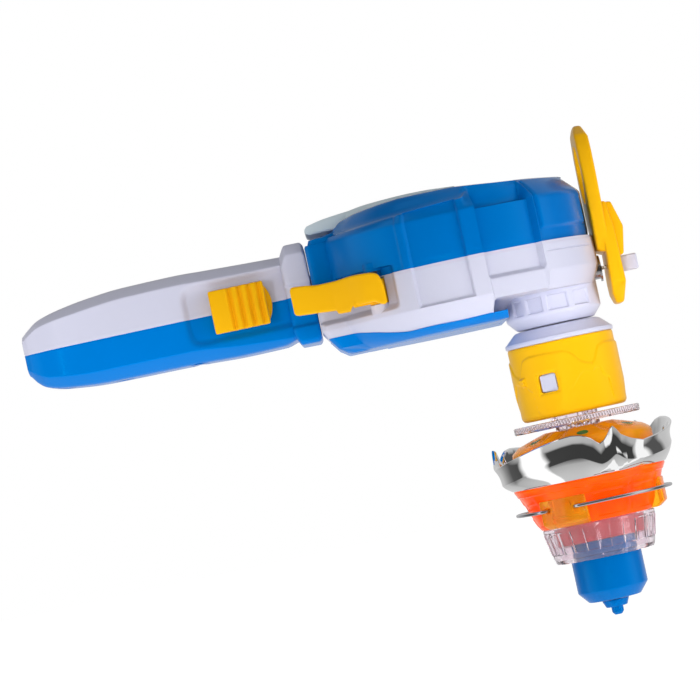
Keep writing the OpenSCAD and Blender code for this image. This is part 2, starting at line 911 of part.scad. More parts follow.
module string_anchor() {
    color("white") difference() {
        anchor_seat(0, 0);
        translate([0, 0, string_z]) rotate([0, 90, 0])
            post(string_d / 2, 0, pull_x + pull_t + upper_back / 2 + cut);
    }
}

// Chuck
module chuck_shaft() {
    color("silver") tube(shaft_r, rod_r + run_gap, shaft_low, shaft_high + move_gap);
}

module drive_pinion() {
    color("darkorange") difference() {
        union() {
            translate([0, 0, gear_z + seat_gap])
                gear_plate(pinion_teeth, 180 / pinion_teeth, gear_t - 2 * seat_gap);
            post(pinion_r * 0.8, gear_top_z - 2 * seat_gap,
                shaft_high - upper_bush_h - move_gap);
        }
        post(shaft_r, gear_z - cut, gear_top_z + gear_t);
    }
}

module chuck_head() {
    color("whitesmoke") difference() {
        union() {
            post(head_r, shaft_low, shaft_low + head_t);
            post(shaft_r * 2, shaft_low + head_t, core_high);
            for (i = [0 : prong_count - 1]) rotate([0, 0, i * 360 / prong_count])
                translate([prong_ring_r, 0, 0])
                    post(prong_r, shaft_low - prong_len, shaft_low + cut);
        }
        post(shaft_r, shaft_low - cut, core_high + cut);
    }
}

module chuck_core() {
    color("white") difference() {
        union() {
            tube(core_r, core_r - core_wall, core_low, core_high);
            tube(core_r, head_r - core_wall, core_low + core_step, core_high);
            for (i = [0 : window_count - 1]) rotate([0, 0, window_turn + i * 360 / window_count])
                block([core_r - core_wall, -window_w / 2 + tab_gap,
                        window_z - window_h / 2 + tab_gap],
                    [cup_r - tab_sink, window_w / 2 - tab_gap,
                        window_z + window_h / 2 - tab_gap]);
        }
        post(head_r, core_low - cut, shaft_low + head_t);
        post(shaft_r * 2, shaft_low, core_high + cut);
    }
}

// The cup's raised line, drawn in X and Z and pressed onto the near and the far side
module relief() {
    line = [for (p = relief_shares) [p[0] * cup_r, p[1] * cup_h]];
    up = [0, relief_t];
    for (a = [0, 180]) rotate([0, 0, a]) intersection() {
        tube(cup_r + relief_t, cup_r - relief_t, 0, cup_h);
        rotate([90, 0, 0]) linear_extrude(2 * cup_r) polygon(concat(
            [for (p = line) p + up],
            [for (i = [len(line) - 1 : -1 : 0]) line[i] - up]));
    }
}

module chuck_cup() {
    color("gold") difference() {
        union() {
            rotate_extrude() polygon([
                [cup_r - cup_wall, 0],
                [cup_r - cup_bevel, 0],
                [cup_r - seam, cup_bevel],
                [cup_r, cup_h / 2],
                [cup_r, cup_h],
                [shaft_r * 2 + seat_gap, cup_h],
                [shaft_r * 2 + seat_gap, cup_h - cup_roof_t],
                [cup_r - cup_wall, cup_h - cup_roof_t]]);
            relief();
            for (i = [0 : window_count - 1])
                rotate([0, 0, window_turn + (i + 0.65) * 360 / window_count])
                    block([cup_r - cup_wall / 2, -relief_t * 2, window_z],
                        [cup_r + 2 * relief_t, relief_t * 2, window_z + window_h / 2]);
        }
        for (i = [0 : window_count - 1]) rotate([0, 0, window_turn + i * 360 / window_count])
            block([core_r - cup_wall, -window_w / 2, window_z - window_h / 2],
                [cup_r + cut, window_w / 2, window_z + window_h / 2]);
    }
}

module chuck_collar() {
    top = cup_h + collar_h;
    color("white") rotate_extrude() polygon([
        [shaft_r, cup_h],
        [cup_r + seam, cup_h],
        [cup_r + seam, cup_h + collar_h * 0.28],
        [cup_r - neck_bevel, top - seam],
        [cup_r - 1.5 * neck_bevel, top],
        [shaft_r, top]]);
}

// Trigger and release
function bow(side) = [for (p = side > 0 ? bow_shares : [for (i = [len(bow_shares) - 1 : -1 : 0])
    bow_shares[i]]) [-p[0] * trigger_len, p[1] * trigger_len - trigger_t * (side > 0 ? 1 : 0)]];

module trigger_lever() {
    color("gold") translate([pivot_x, pivot_y, 0]) difference() {
        union() {
            translate([0, 0, trigger_z]) linear_extrude(trigger_h)
                polygon(concat(bow(1), bow(-1)));
            post(knuckle_r, trigger_z, trigger_z + trigger_h);
            block([-knuckle_r * 0.6, -knuckle_r * 2, trigger_z],
                [knuckle_r * 0.6, 0, trigger_z + trigger_h]);
            block([-arm_w / 2, 0, arm_z], [arm_w / 2, arm_len, arm_z + arm_h]);
        }
        post(trigger_pin_r + run_gap, trigger_z - cut, trigger_z + trigger_h + cut);
        translate([0, 0, trigger_z - cut]) tube(body_r, trigger_len * 0.88, 0, cut);
        block([-trigger_len / 2, -body_r, trigger_z - cut],
            [-knuckle_r, -trigger_t, trigger_z + trigger_t / 4]);
        post(knuckle_r + cut, trigger_z + trigger_h - spring_h,
            trigger_z + trigger_h + cut);
    }
}

module trigger_pin() {
    color("silver") translate([pivot_x, pivot_y, 0])
        post(trigger_pin_r, trigger_z - pocket_gap - shell_wall / 2,
            trigger_z + trigger_h + pocket_gap + shell_wall / 2);
}

module trigger_spring() {
    low = trigger_z + trigger_h - spring_h + move_gap;
    color("silver") translate([pivot_x, pivot_y, 0])
        tube(knuckle_r - move_gap, trigger_pin_r + seat_gap / 2, low,
            trigger_z + trigger_h + pocket_gap);
}

// The link's outline seen from above, grown by a gap, from the trigger's arm to the rod
module link_path(gap, height) {
    from = [pivot_x + arm_w / 2 + move_gap / 3, pivot_y + arm_len - link_w / 2];
    half = link_w / 2 + gap;
    linear_extrude(height) polygon([
        [from[0] - gap, from[1] - half],
        [from[0] + post_w + gap, from[1] - half],
        [-rod_head_r - link_w + gap / 2, -half],
        [rod_head_r + 2 * gap, -half],
        [rod_head_r + 2 * gap, half],
        [-rod_head_r - 1.5 * link_w, half],
        [from[0] - gap, from[1] + half]]);
}

module link_wedge(gap) {
    side_slab([
        [-rod_head_r * 3, link_z - link_t * 2],
        [-rod_head_r * 3, rod_top - rod_head_r * 3 + gap],
        [rod_head_r * 3, rod_top + rod_head_r * 3 + gap],
        [rod_head_r * 3, link_z - link_t * 2]],
        link_w + post_w);
}

module release_link() {
    from = [pivot_x + arm_w / 2 + move_gap / 3, pivot_y + arm_len - link_w / 2];
    color("whitesmoke") {
        difference() {
            translate([0, 0, link_z]) link_path(0, link_t);
            link_wedge(seat_gap / 2);
        }
        block([from[0], from[1] - link_w / 2, arm_z], [from[0] + post_w,
            from[1] + link_w / 2, link_z + link_t]);
    }
}

module release_rod() {
    color("silver") {
        post(rod_r, rod_low, rod_head_low + move_gap);
        intersection() {
            post(rod_head_r, rod_head_low, rod_top + rod_head_r);
            link_wedge(-seat_gap / 2);
        }
    }
}

// Handle
function handle_side(inset) = concat(
    [for (p = top_shares) [handle_x - p[0] * (handle_len - inset),
        parting_z + p[1] * (handle_up - inset)]],
    [for (p = low_shares) [handle_x - p[0] * (handle_len - inset),
        parting_z + p[1] * (handle_low - inset)]]);

module handle_form(inset) {
    w = handle_w - 2 * inset;
    intersection() {
        side_slab(handle_side(inset), w);
        translate([0, 0, parting_z - handle_low]) linear_extrude(handle_low + handle_up)
            polygon(concat(
                [for (p = plan_shares) [handle_x - p[0] * (handle_len - inset), p[1] * w]],
                [for (i = [len(plan_shares) - 1 : -1 : 0])
                    [handle_x - plan_shares[i][0] * (handle_len - inset),
                        -plan_shares[i][1] * w]]));
        translate([butt_x, 0, parting_z]) rotate([90, 0, 90])
            linear_extrude(handle_len + collar_len) polygon([
                [-w / 2, handle_up - handle_bevel - inset / 2],
                [-w / 2 + handle_bevel * 1.6, handle_up],
                [w / 2 - handle_bevel * 1.6, handle_up],
                [w / 2, handle_up - handle_bevel - inset / 2],
                [w / 2, -handle_low + bevel_low + inset / 2],
                [w / 2 - bevel_low * 1.5, -handle_low],
                [-w / 2 + bevel_low * 1.5, -handle_low],
                [-w / 2, -handle_low + bevel_low + inset / 2]]);
    }
}

module collar_form() {
    half = collar_w / 2;
    high = parting_z + handle_up + collar_lip;
    low = parting_z - handle_low - collar_lip / 2;
    difference() {
        side_slab([
            [collar_front_x - seam, high],
            [collar_front_x, high - collar_lip],
            [collar_front_x, low],
            [handle_x + collar_lip, low],
            [handle_x, low + collar_lip],
            [handle_x, high - collar_lip],
            [handle_x + collar_lip, high]],
            collar_w);
        both_sides() {
            translate([handle_x - cut, half - collar_lip * 2, high]) rotate([45, 0, 0])
                block([0, 0, 0], [collar_len + 2 * cut, collar_w, collar_w]);
            translate([handle_x - cut, half - collar_lip * 2, low]) rotate([-45, 0, 0])
                block([0, 0, -collar_w], [collar_len + 2 * cut, collar_w, 0]);
            block([handle_x - cut, half - collar_step, low + collar_foot],
                [collar_front_x + cut, half + cut, parting_z]);
        }
    }
}

button_x = handle_x - button_x_share * handle_len;
button_z = parting_z + button_drop;
side_y = -(handle_w / 2 - grip_depth);

module grip_recess() {
    block([handle_x - grip_x_share * handle_len, -handle_w, parting_z - handle_low + bevel_low],
        [handle_x, side_y, parting_z + handle_up - handle_bevel]);
}

module handle_solid() {
    difference() {
        union() {
            difference() {
                handle_form(0);
                both_sides() grip_recess();
                handle_form(handle_wall + grip_depth);
            }
            collar_form();
            intersection() {
                handle_form(seat_gap);
                socket_walls();
            }
        }
        block([handle_x - tongue_len, -tongue_w / 2 - move_gap,
                parting_z - tongue_h / 2 - move_gap],
            [collar_front_x + cut, tongue_w / 2 + move_gap,
                parting_z + tongue_h / 2 + move_gap]);
        button_slot();
        detent_slots();
    }
}

// The socket that takes the tongue, open at the collar
module socket_walls() {
    t = handle_wall - floor_gap;
    difference() {
        block([handle_x - tongue_len, -tongue_w / 2 - move_gap - t,
                parting_z - tongue_h / 2 - move_gap - t],
            [collar_front_x, tongue_w / 2 + move_gap + t,
                parting_z + tongue_h / 2 + move_gap + t]);
        button_slot();
    }
}

module button_slot() {
    half = stem_w / 2 + move_gap;
    block([button_x - half, -handle_w, button_z - half],
        [button_x + half + button_travel, -tongue_w / 2, button_z + half]);
    block([button_x - half - catch_t, side_y + handle_wall,
            button_z - half - catch_t],
        [button_x + half + catch_t + button_travel, -tongue_w / 2,
            button_z + half + catch_t]);
}

module detent_slots() {
    block([rear_x - tongue_len * 0.8 - 3 * detent_t, tongue_w / 2,
            parting_z - tongue_h / 4 - seat_gap],
        [rear_x - tongue_len * 0.8 + 3 * detent_t, tongue_w / 2 + handle_wall + 2 * detent_t,
            parting_z + tongue_h / 4 + seat_gap]);
}

module screw_places() {
    for (p = handle_screw_shares)
        translate([handle_x - p[0] * handle_len, p[1] * handle_w, 0]) children();
}

module handle_upper_shell() {
    color("ghostwhite") difference() {
        union() {
            intersection() {
                handle_solid();
                block([butt_x - cut, -handle_w, parting_z],
                    [rear_x, handle_w, 2 * parting_z]);
            }
            intersection() {
                handle_form(seat_gap);
                screw_places() post(boss_r, parting_z, parting_z + handle_up - handle_wall / 2);
                socket_clear();
            }
        }
        screw_places() post(screw_r, parting_z - cut, parting_z + handle_up / 2);
    }
}

module handle_lower_shell() {
    color("dodgerblue") difference() {
        union() {
            intersection() {
                handle_solid();
                block([butt_x - cut, -handle_w, 0],
                    [rear_x, handle_w, parting_z]);
            }
            intersection() {
                handle_form(seat_gap);
                screw_places() post(boss_r, 0, parting_z);
                socket_clear();
            }
        }
        screw_places() {
            post(screw_r + screw_gap, 0, parting_z + cut);
            post(screw_head_r + screw_gap, 0, parting_z - handle_low + 2 * screw_head_t);
        }
    }
}

// Everything but the tongue's socket and the room for the button
module socket_clear() {
    difference() {
        block([butt_x, -handle_w, 0], [collar_front_x, handle_w, 2 * parting_z]);
        block([handle_x - tongue_len, -tongue_w / 2 - move_gap,
                parting_z - tongue_h / 2 - move_gap],
            [collar_front_x + cut, tongue_w / 2 + move_gap,
                parting_z + tongue_h / 2 + move_gap]);
        button_slot();
    }
}

module handle_screws() {
    low = parting_z - handle_low + screw_head_t;
    color("gray") screw_places()
        screw(screw_r, screw_head_r, low, parting_z + handle_up / 3,
            screw_head_t - seat_gap);
}

module handle_detent() {
    x = rear_x - tongue_len * 0.8;
    low = parting_z - tongue_h / 4;
    high = parting_z + tongue_h / 4;
    y = tongue_w / 2 + move_gap;
    color("whitesmoke") {
        block([x - 3 * detent_t + seat_gap, y + detent_t, low],
            [x + 3 * detent_t - seat_gap, y + 2 * detent_t, high]);
        block([x - detent_t, y, low], [x + detent_t, y + detent_t, high]);
    }
}

module slide_button() {
    face = side_y - move_gap;
    color("gold") translate([button_x, 0, button_z]) {
        difference() {
            block([-button_l / 2, face - 2 * button_t / 3 - button_t, -button_h / 2],
                [button_l / 2, face - 2 * button_t / 3, button_h / 2]);
            for (i = [0 : button_ribs - 1])
                translate([(i - (button_ribs - 1) / 2) * button_l / button_ribs,
                        face - 5 * button_t / 3, -button_h])
                    cylinder(d = rib_d * 1.3, h = 2 * button_h);
        }
        intersection() {
            translate([0, face, 0]) rotate([90, 0, 0])
                cylinder(r = button_base_r, h = 2 * button_t / 3);
            block([-button_l, -handle_w, -button_h / 2 + seam],
                [button_l, 0, button_h / 2 - seam]);
        }
        block([-stem_w / 2, face - cut, -stem_w / 2],
            [stem_w / 2, side_y + handle_wall + move_gap, stem_w / 2]);
    }
}

module button_catch() {
    inner = -tongue_w / 2 - 2 * move_gap;
    color("whitesmoke") translate([button_x, 0, button_z])
        block([-stem_w / 2 - catch_t + move_gap, side_y + handle_wall + move_gap,
                -stem_w / 2 - catch_t + move_gap],
            [stem_w / 2 + catch_t - move_gap, inner - move_gap,
                stem_w / 2 + catch_t - move_gap]);
}

// Spinning top
module launch_disc() {
    color("lavender") {
        post(disc_r, disc_z, disc_z + disc_t);
        post(prong_ring_r - prong_r - run_gap, disc_z, spigot_h - spigot_r / 4);
        post(spigot_r * 0.7, disc_z, spigot_h);
        for (i = [0 : prong_count - 1]) rotate([0, 0, (i + 0.5) * 360 / prong_count])
            block([spigot_r / 2, -prong_r, disc_z], [prong_ring_r, prong_r, spigot_h / 2]);
        difference() {
            post(hub_r, hub_low, disc_z);
            for (i = [0 : hub_notches - 1]) rotate([0, 0, i * 360 / hub_notches])
                translate([hub_r, 0, 0]) post(hub_r / 10, hub_low - cut, disc_z - seam);
        }
    }
}

module top_cap() {
    color("darkorange") difference() {
        rotate_extrude() polygon([
            [hub_r + seat_gap, cap_z],
            [hub_r * 1.5, cap_z],
            [cap_r - cap_wall, cap_rim_z + cap_wall / 2],
            [cap_r, cap_rim_z],
            [cap_r, cap_low_z],
            [cap_r - cap_wall, cap_low_z],
            [cap_r - cap_wall, cap_rim_z - cap_wall],
            [hub_r * 1.5, cap_z - 2 * cap_wall],
            [hub_r + seat_gap, cap_z - 2 * cap_wall]]);
        gems(gem_r + seat_gap / 2);
    }
}

module gems(r) {
    for (i = [0 : gem_count - 1]) rotate([0, 0, (i + 0.5) * 360 / gem_count])
        translate([gem_ring_r, 0, 0]) post(r, cap_rim_z, cap_z);
}

module cap_gems() {
    color("green") intersection() {
        gems(gem_r);
        rotate_extrude() polygon([
            [hub_r * 1.5, cap_z + cap_wall / 4],
            [cap_r - cap_wall, cap_rim_z + cap_wall * 0.75],
            [cap_r - cap_wall, cap_rim_z - cap_wall / 2],
            [hub_r * 1.5, cap_z - cap_wall]]);
    }
}

// The metal ring: its upper edge runs in waves, three times around
function ring_wave(a) = lookup((a + 360 - ring_turn) % ring_fold / ring_fold, ring_shares);
function ring_profile(a) = let (
    wave = ring_wave(a),
    top = ring_low_z + blade_h + crest_h * wave,
    out = blade_r - (wave - 0.5) * ring_wall / 2,
    waist = ring_low_z + blade_h * ring_waist_share) [
    [ring_in_r, ring_low_z + ring_wall],
    [blade_low_r, ring_low_z],
    [ring_waist_r, waist],
    [out, top],
    [out - ring_wall, top],
    [ring_in_r, waist + ring_wall * 2]];

module metal_ring() {
    step = 360 / ring_steps;
    n = 6;
    points = [for (i = [0 : ring_steps - 1]) each [for (p = ring_profile(i * step))
        [p[0] * sin(i * step), -p[0] * cos(i * step), p[1]]]];
    faces = [for (i = [0 : ring_steps - 1], j = [0 : n - 1]) each let (
        a = i * n + j,
        b = i * n + (j + 1) % n,
        c = (i + 1) % ring_steps * n + (j + 1) % n,
        d = (i + 1) % ring_steps * n + j) [[a, b, c], [a, c, d]]];
    color("silver") polyhedron(points, faces, convexity = 6);
}

module orange_bowl() {
    bend_z = bowl_z - bowl_h / 2;
    bend_r = (bowl_top_r + bowl_low_r) / 2;
    color("orangered") difference() {
        rotate_extrude() polygon([
            [core_top_r + seat_gap, cap_low_z - seat_gap],
            [cap_r - seat_gap, cap_low_z - seat_gap],
            [cap_r - seat_gap, bowl_z + seat_gap],
            [bowl_top_r, bowl_z - seat_gap],
            [bend_r, bend_z],
            [bowl_low_r, bowl_low_z],
            [red_r + seat_gap, bowl_low_z],
            [red_r + seat_gap, bowl_low_z + bowl_wall],
            [bowl_low_r - bowl_wall, bowl_low_z + bowl_wall],
            [bend_r - bowl_wall, bend_z],
            [bowl_top_r - bowl_wall * 2, bowl_z - bowl_wall],
            [core_top_r + seat_gap, bowl_z - bowl_wall]]);
        lugs(seat_gap, bowl_low_z - cut);
    }
}

// Clear yellow lugs that stand out of the bowl and hold the wire ring
module lugs(gap, low) {
    for (i = [0 : lug_count - 1]) rotate([0, 0, wire_turn + i * 360 / lug_count])
        arc(bowl_low_r - bowl_wall * 1.5 - gap, lug_r, -lug_a - 2 * gap, lug_a + 2 * gap,
            low, bowl_low_z + lug_h + gap);
}

// An open ring of wire whose two ends turn inwards into one lug
module wire_clip(r) {
    gap_a = (360 - wire_span) / 2;
    translate([0, 0, wire_z]) rotate([0, 0, wire_turn]) {
        rotate([0, 0, gap_a]) rotate_extrude(angle = wire_span)
            translate([wire_r, 0]) circle(r = r);
        for (a = [-gap_a, gap_a]) rotate([0, 0, a]) rotate([0, 90, 0])
            post(r, lug_r - bowl_wall * 1.5, wire_r);
    }
}

module lug_ring() {
    color("gold") difference() {
        union() {
            lugs(0, bowl_low_z);
            tube(bowl_low_r - bowl_wall * 1.2, red_r + seat_gap,
                bowl_low_z + bowl_wall + seat_gap, bowl_low_z + 2 * bowl_wall);
        }
        rotate_extrude() polygon([
            [lug_r * 0.9, bowl_low_z - cut],
            [lug_r * 0.9, bowl_low_z],
            [lug_r, bowl_low_z + bowl_wall],
            [lug_r + cut, bowl_low_z - cut]]);
        wire_clip(wire_d / 2 + seat_gap);
    }
}

module wire_ring() {
    color("silver") wire_clip(wire_d / 2);
}

module red_core() {
    color("red") {
        tube(core_top_r, spigot_r, bowl_low_z, hub_low - seat_gap);
        tube(red_r, tip_neck_r + seat_gap, ribbed_z - ribbed_h / 2, bowl_low_z + bowl_wall);
    }
}

module ribbed_ring() {
    color("lavender") {
        rotate_extrude() polygon([
            [red_r + seat_gap, ribbed_z],
            [ribbed_top_r, ribbed_z],
            [ribbed_low_r, ribbed_low_z],
            [tip_neck_r + seat_gap, ribbed_low_z],
            [tip_neck_r + seat_gap, ribbed_low_z + ribbed_wall],
            [ribbed_low_r - ribbed_wall, ribbed_low_z + ribbed_wall],
            [red_r + seat_gap, ribbed_z - ribbed_h / 2]]);
        for (i = [0 : rib_count - 1]) rotate([0, 0, i * 360 / rib_count])
            side_slab([
                [ribbed_top_r - rib_t, ribbed_z - rib_t],
                [ribbed_top_r + rib_t / 2, ribbed_z - rib_t],
                [ribbed_low_r + rib_t / 2, ribbed_low_z + rib_t],
                [ribbed_low_r - rib_t, ribbed_low_z + rib_t]],
                rib_t);
    }
}

module tip_case() {
    color("dodgerblue") difference() {
        rotate_extrude() polygon([
            [0, tip_low_z],
            [tip_case_r - tip_bevel_w, tip_low_z],
            [tip_case_r, tip_low_z + tip_bevel_h],
            [tip_case_r, ribbed_low_z - seat_gap],
            [tip_neck_r, ribbed_low_z - seat_gap],
            [tip_neck_r, ribbed_z - ribbed_h / 2 - seat_gap + ribbed_wall],
            [0, ribbed_z - ribbed_h / 2 - seat_gap + ribbed_wall]]);
        post(bearing_r, tip_low_z + ribbed_wall, tip_low_z + 2 * tip_case_h);
        post(tip_pin_r + 2 * move_gap, tip_low_z - cut, tip_low_z + tip_case_h);
    }
}

module tip_bearing() {
    color("silver") tube(bearing_r, tip_pin_r + run_gap, tip_low_z + ribbed_wall,
        tip_low_z + ribbed_wall + bearing_h);
}

module spinning_tip() {
    color("deepskyblue") {
        post(tip_pin_r, tip_low_z - cut, tip_low_z + tip_pin_h);
        rotate_extrude() polygon([
            [0, tip_low_z - move_gap],
            [tip_shoulder_r, tip_low_z - move_gap],
            [tip_r, tip_low_z - tip_len / 2],
            [tip_end_r, tip_low_z - tip_len / 2],
            [tip_end_r, tip_low_z - tip_len + tip_end_r / 2],
            [tip_end_r * 0.6, tip_low_z - tip_len],
            [0, tip_low_z - tip_len]]);
    }
}

body_lower_shell();
body_upper_shell();
top_plate();
bottom_plate();
body_screws();
handle_tongue();
lower_bush();
upper_bush();
spring_housing();
rewind_spring();
reel_axle();
string_eyelet();
string_lead();
trigger_pin();
trigger_spring();
reel_spool();
reel_gear();
string_winding();
pull_handle();
string_anchor();
pull_string();
chuck_shaft();
drive_pinion();
chuck_head();
chuck_core();
chuck_cup();
chuck_collar();
trigger_lever();
release_link();
release_rod();
handle_upper_shell();
handle_lower_shell();
handle_screws();
handle_detent();
slide_button();
button_catch();
launch_disc();
top_cap();
cap_gems();
metal_ring();
orange_bowl();
lug_ring();
wire_ring();
red_core();
ribbed_ring();
tip_case();
tip_bearing();
spinning_tip();
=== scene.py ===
# %% [markdown]
# # A string launcher with a spinning top
# The launcher is moulded from glossy coloured plastic. A chrome ring, clear plastic and a
# steel wire make up the spinning top under it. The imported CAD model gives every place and
# size, and this lesson dresses it: rounded edges, soft hollows, real materials and light.

# %% Load the frame
import json
import math

import bmesh
import bpy
import numpy as np
from mathutils import Matrix, Vector


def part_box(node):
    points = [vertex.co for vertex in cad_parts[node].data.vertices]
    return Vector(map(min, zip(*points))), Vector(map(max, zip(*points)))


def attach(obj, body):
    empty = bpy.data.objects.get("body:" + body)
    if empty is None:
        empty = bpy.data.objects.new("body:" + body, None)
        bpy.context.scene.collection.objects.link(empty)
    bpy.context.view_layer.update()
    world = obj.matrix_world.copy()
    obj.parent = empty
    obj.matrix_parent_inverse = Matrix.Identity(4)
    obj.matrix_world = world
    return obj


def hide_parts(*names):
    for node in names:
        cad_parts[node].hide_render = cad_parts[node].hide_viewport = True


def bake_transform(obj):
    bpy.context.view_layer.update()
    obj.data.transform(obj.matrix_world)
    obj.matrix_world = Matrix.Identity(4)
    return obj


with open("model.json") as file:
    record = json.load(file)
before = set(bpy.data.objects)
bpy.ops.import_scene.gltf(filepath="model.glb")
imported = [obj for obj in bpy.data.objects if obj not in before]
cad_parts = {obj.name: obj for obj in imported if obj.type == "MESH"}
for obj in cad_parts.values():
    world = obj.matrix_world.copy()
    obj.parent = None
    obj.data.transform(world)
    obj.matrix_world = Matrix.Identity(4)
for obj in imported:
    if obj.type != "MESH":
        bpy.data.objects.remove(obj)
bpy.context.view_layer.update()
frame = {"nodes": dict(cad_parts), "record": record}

MM = 0.001

# %% [markdown]
# ## The camera
# The photograph looks along +Y from about 1.1 m away, from a little below the body, and the
# camera is rolled by 12 degrees. A long lens keeps the perspective mild. The camera's matrix is
# written out from three directions, which is the clearest way to roll it.

# %% Camera
STAND = Vector((-60, -1100, 0)) * MM
TARGET = Vector((-60, 0, 31.6)) * MM
ROLL = math.radians(12.15)


def added(name, data):
    """A new object that holds the data and is linked to the scene."""
    item = bpy.data.objects.new(name, data)
    bpy.context.scene.collection.objects.link(item)
    return item


forward = (TARGET - STAND).normalized()
level = forward.cross(Vector((0, 0, 1))).normalized()
upright = level.cross(forward)
right = level * math.cos(ROLL) - upright * math.sin(ROLL)
up = level * math.sin(ROLL) + upright * math.cos(ROLL)
camera = added("camera", bpy.data.cameras.new("camera"))
camera.matrix_world = Matrix.Translation(STAND) @ Matrix(
    (right, up, -forward)).transposed().to_4x4()
camera.data.lens = 195.1
camera.data.sensor_width = 36
camera.data.clip_start = 0.05
camera.data.clip_end = 20
bpy.context.scene.camera = camera
bpy.context.scene.view_settings.view_transform = "Standard"
print("camera at", tuple(round(c, 3) for c in camera.location))

# %% [markdown]
# ## Floor and light
# The launcher is held in the air, and the released top drops 30 mm, so the pale floor lies 31 mm
# under the tip. It glows a little for the camera, so that it stays as white as the backdrop and
# still takes the shadow. The photograph is lit from the front and from below, by a white sweep,
# while the top of the object is dimmer, and shiny surfaces mirror a dark room with a few white
# boxes. So the world has one face for each kind of ray: soft light that fades upward, a dark room
# with boxes for gloss, and plain white behind it all. A wide lamp lights the right side, and two
# narrow ones lift the end of the grip and the chuck.

# %% Floor
FLOOR_DROP, FLOOR_HALF = 31 * MM, 3.0
floor_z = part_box("spinning_tip")[0].z - FLOOR_DROP
floor_mesh = bpy.data.meshes.new("floor")
floor_mesh.from_pydata([(x * FLOOR_HALF, y * FLOOR_HALF, floor_z)
                        for x, y in ((-1, -1), (1, -1), (1, 1), (-1, 1))], [], [(0, 1, 2, 3)])
floor = added("floor", floor_mesh)
floor.visible_glossy = False
floor.visible_transmission = False
floor_look = bpy.data.materials.new("pale_floor")
floor_look.use_nodes = True
for socket, value in (("Base Color", (0.6, 0.6, 0.6, 1)), ("Roughness", 1.0),
                      ("Specular IOR Level", 0.0), ("Emission Color", (1, 1, 1, 1)),
                      ("Emission Strength", 0.9)):
    floor_look.node_tree.nodes["Principled BSDF"].inputs[socket].default_value = value
floor_mesh.materials.append(floor_look)

# %% World
world = bpy.data.worlds.new("studio")
bpy.context.scene.world = world
world.use_nodes = True
tree = world.node_tree
tree.nodes.clear()
rays = tree.nodes.new("ShaderNodeLightPath")
sky = tree.nodes.new("ShaderNodeTexCoord")
way = tree.nodes.new("ShaderNodeSeparateXYZ")
tree.links.new(sky.outputs["Generated"], way.inputs[0])


def world_math(operation, *values):
    node = tree.nodes.new("ShaderNodeMath")
    node.operation = operation
    for socket, value in zip(node.inputs, values):
        if isinstance(value, (int, float)):
            socket.default_value = value
        else:
            tree.links.new(value, socket)
    return node.outputs[0]


def world_ramp(value, low, high, stops):
    span = tree.nodes.new("ShaderNodeMapRange")
    span.inputs["From Min"].default_value = low
    span.inputs["From Max"].default_value = high
    tree.links.new(value, span.inputs["Value"])
    node = tree.nodes.new("ShaderNodeValToRGB")
    tree.links.new(span.outputs["Result"], node.inputs["Fac"])
    ramp = node.color_ramp
    while len(ramp.elements) < len(stops):
        ramp.elements.new(0.5)
    for element, (place, bright) in zip(ramp.elements, stops):
        element.position = (place - low) / (high - low)
        element.color = (bright, bright, bright, 1)
    return node.outputs["Color"]


def background(colour):
    node = tree.nodes.new("ShaderNodeBackground")
    if isinstance(colour, tuple):
        node.inputs["Color"].default_value = colour
    else:
        tree.links.new(colour, node.inputs["Color"])
    return node.outputs[0]


def world_mix(a, b, factor):
    node = tree.nodes.new("ShaderNodeMixShader")
    tree.links.new(factor, node.inputs[0])
    tree.links.new(a, node.inputs[1])
    tree.links.new(b, node.inputs[2])
    return node.outputs[0]


soft = world_ramp(way.outputs["Z"], -1, 1, [(-1, 1.0), (-0.3, 0.9), (0.0, 0.66), (0.3, 0.38),
                                            (0.6, 0.22), (1, 0.2)])
bearing = world_math("DEGREES", world_math(
    "ARCTAN2", way.outputs["X"], world_math("MULTIPLY", way.outputs["Y"], -1)))
boxes_around = world_ramp(bearing, -180, 180, [
    (-180, 0.7), (-150, 0.6), (-118, 0.10), (-100, 0.08), (-90, 1.25), (-58, 1.25), (-50, 0.06),
    (-8, 0.05), (52, 0.05), (62, 1.1), (86, 1.1), (96, 0.1), (118, 0.1), (130, 0.6), (180, 0.7)])
boxes_above = world_ramp(way.outputs["Z"], -1, 1, [
    (-1, 0.75), (-0.6, 0.5), (-0.46, 0.0), (0.42, 0.0), (0.5, 0.55), (0.72, 0.6), (0.8, 0.12),
    (1, 0.1)])
room = tree.nodes.new("ShaderNodeMix")
room.data_type = "RGBA"
room.blend_type = "LIGHTEN"
room.inputs["Factor"].default_value = 1.0
tree.links.new(boxes_around, room.inputs["A"])
tree.links.new(boxes_above, room.inputs["B"])
seen = world_mix(background(soft), background(room.outputs["Result"]),
                 rays.outputs["Is Glossy Ray"])
white = background((1, 1, 1, 1))
seen = world_mix(seen, white, rays.outputs["Is Transmission Ray"])
seen = world_mix(seen, white, rays.outputs["Is Camera Ray"])
result = tree.nodes.new("ShaderNodeOutputWorld")
tree.links.new(seen, result.inputs["Surface"])

# %% Lamps


def soft_lamp(name, place, aim, size, watts, spread=180):
    lamp = bpy.data.lights.new(name, "AREA")
    lamp.shape = "DISK"
    lamp.size, lamp.energy, lamp.spread = size, watts, math.radians(spread)
    holder = added(name, lamp)
    holder.location = place
    holder.visible_glossy = False
    holder.rotation_mode = "QUATERNION"
    holder.rotation_quaternion = (Vector(aim) - Vector(place)).to_track_quat("-Z", "Y")


soft_lamp("right", (0.7, -0.45, 0.02), (-0.02, 0, 0.03), 0.4, 2.5)
soft_lamp("front_left", (-0.36, -0.45, 0.05), (-0.162, 0, 0.045), 0.14, 0.035, 32)
soft_lamp("front_low", (-0.1, -0.6, -0.035), (0.016, 0, 0.006), 0.1, 0.018, 16)
print("lamps and world ready")

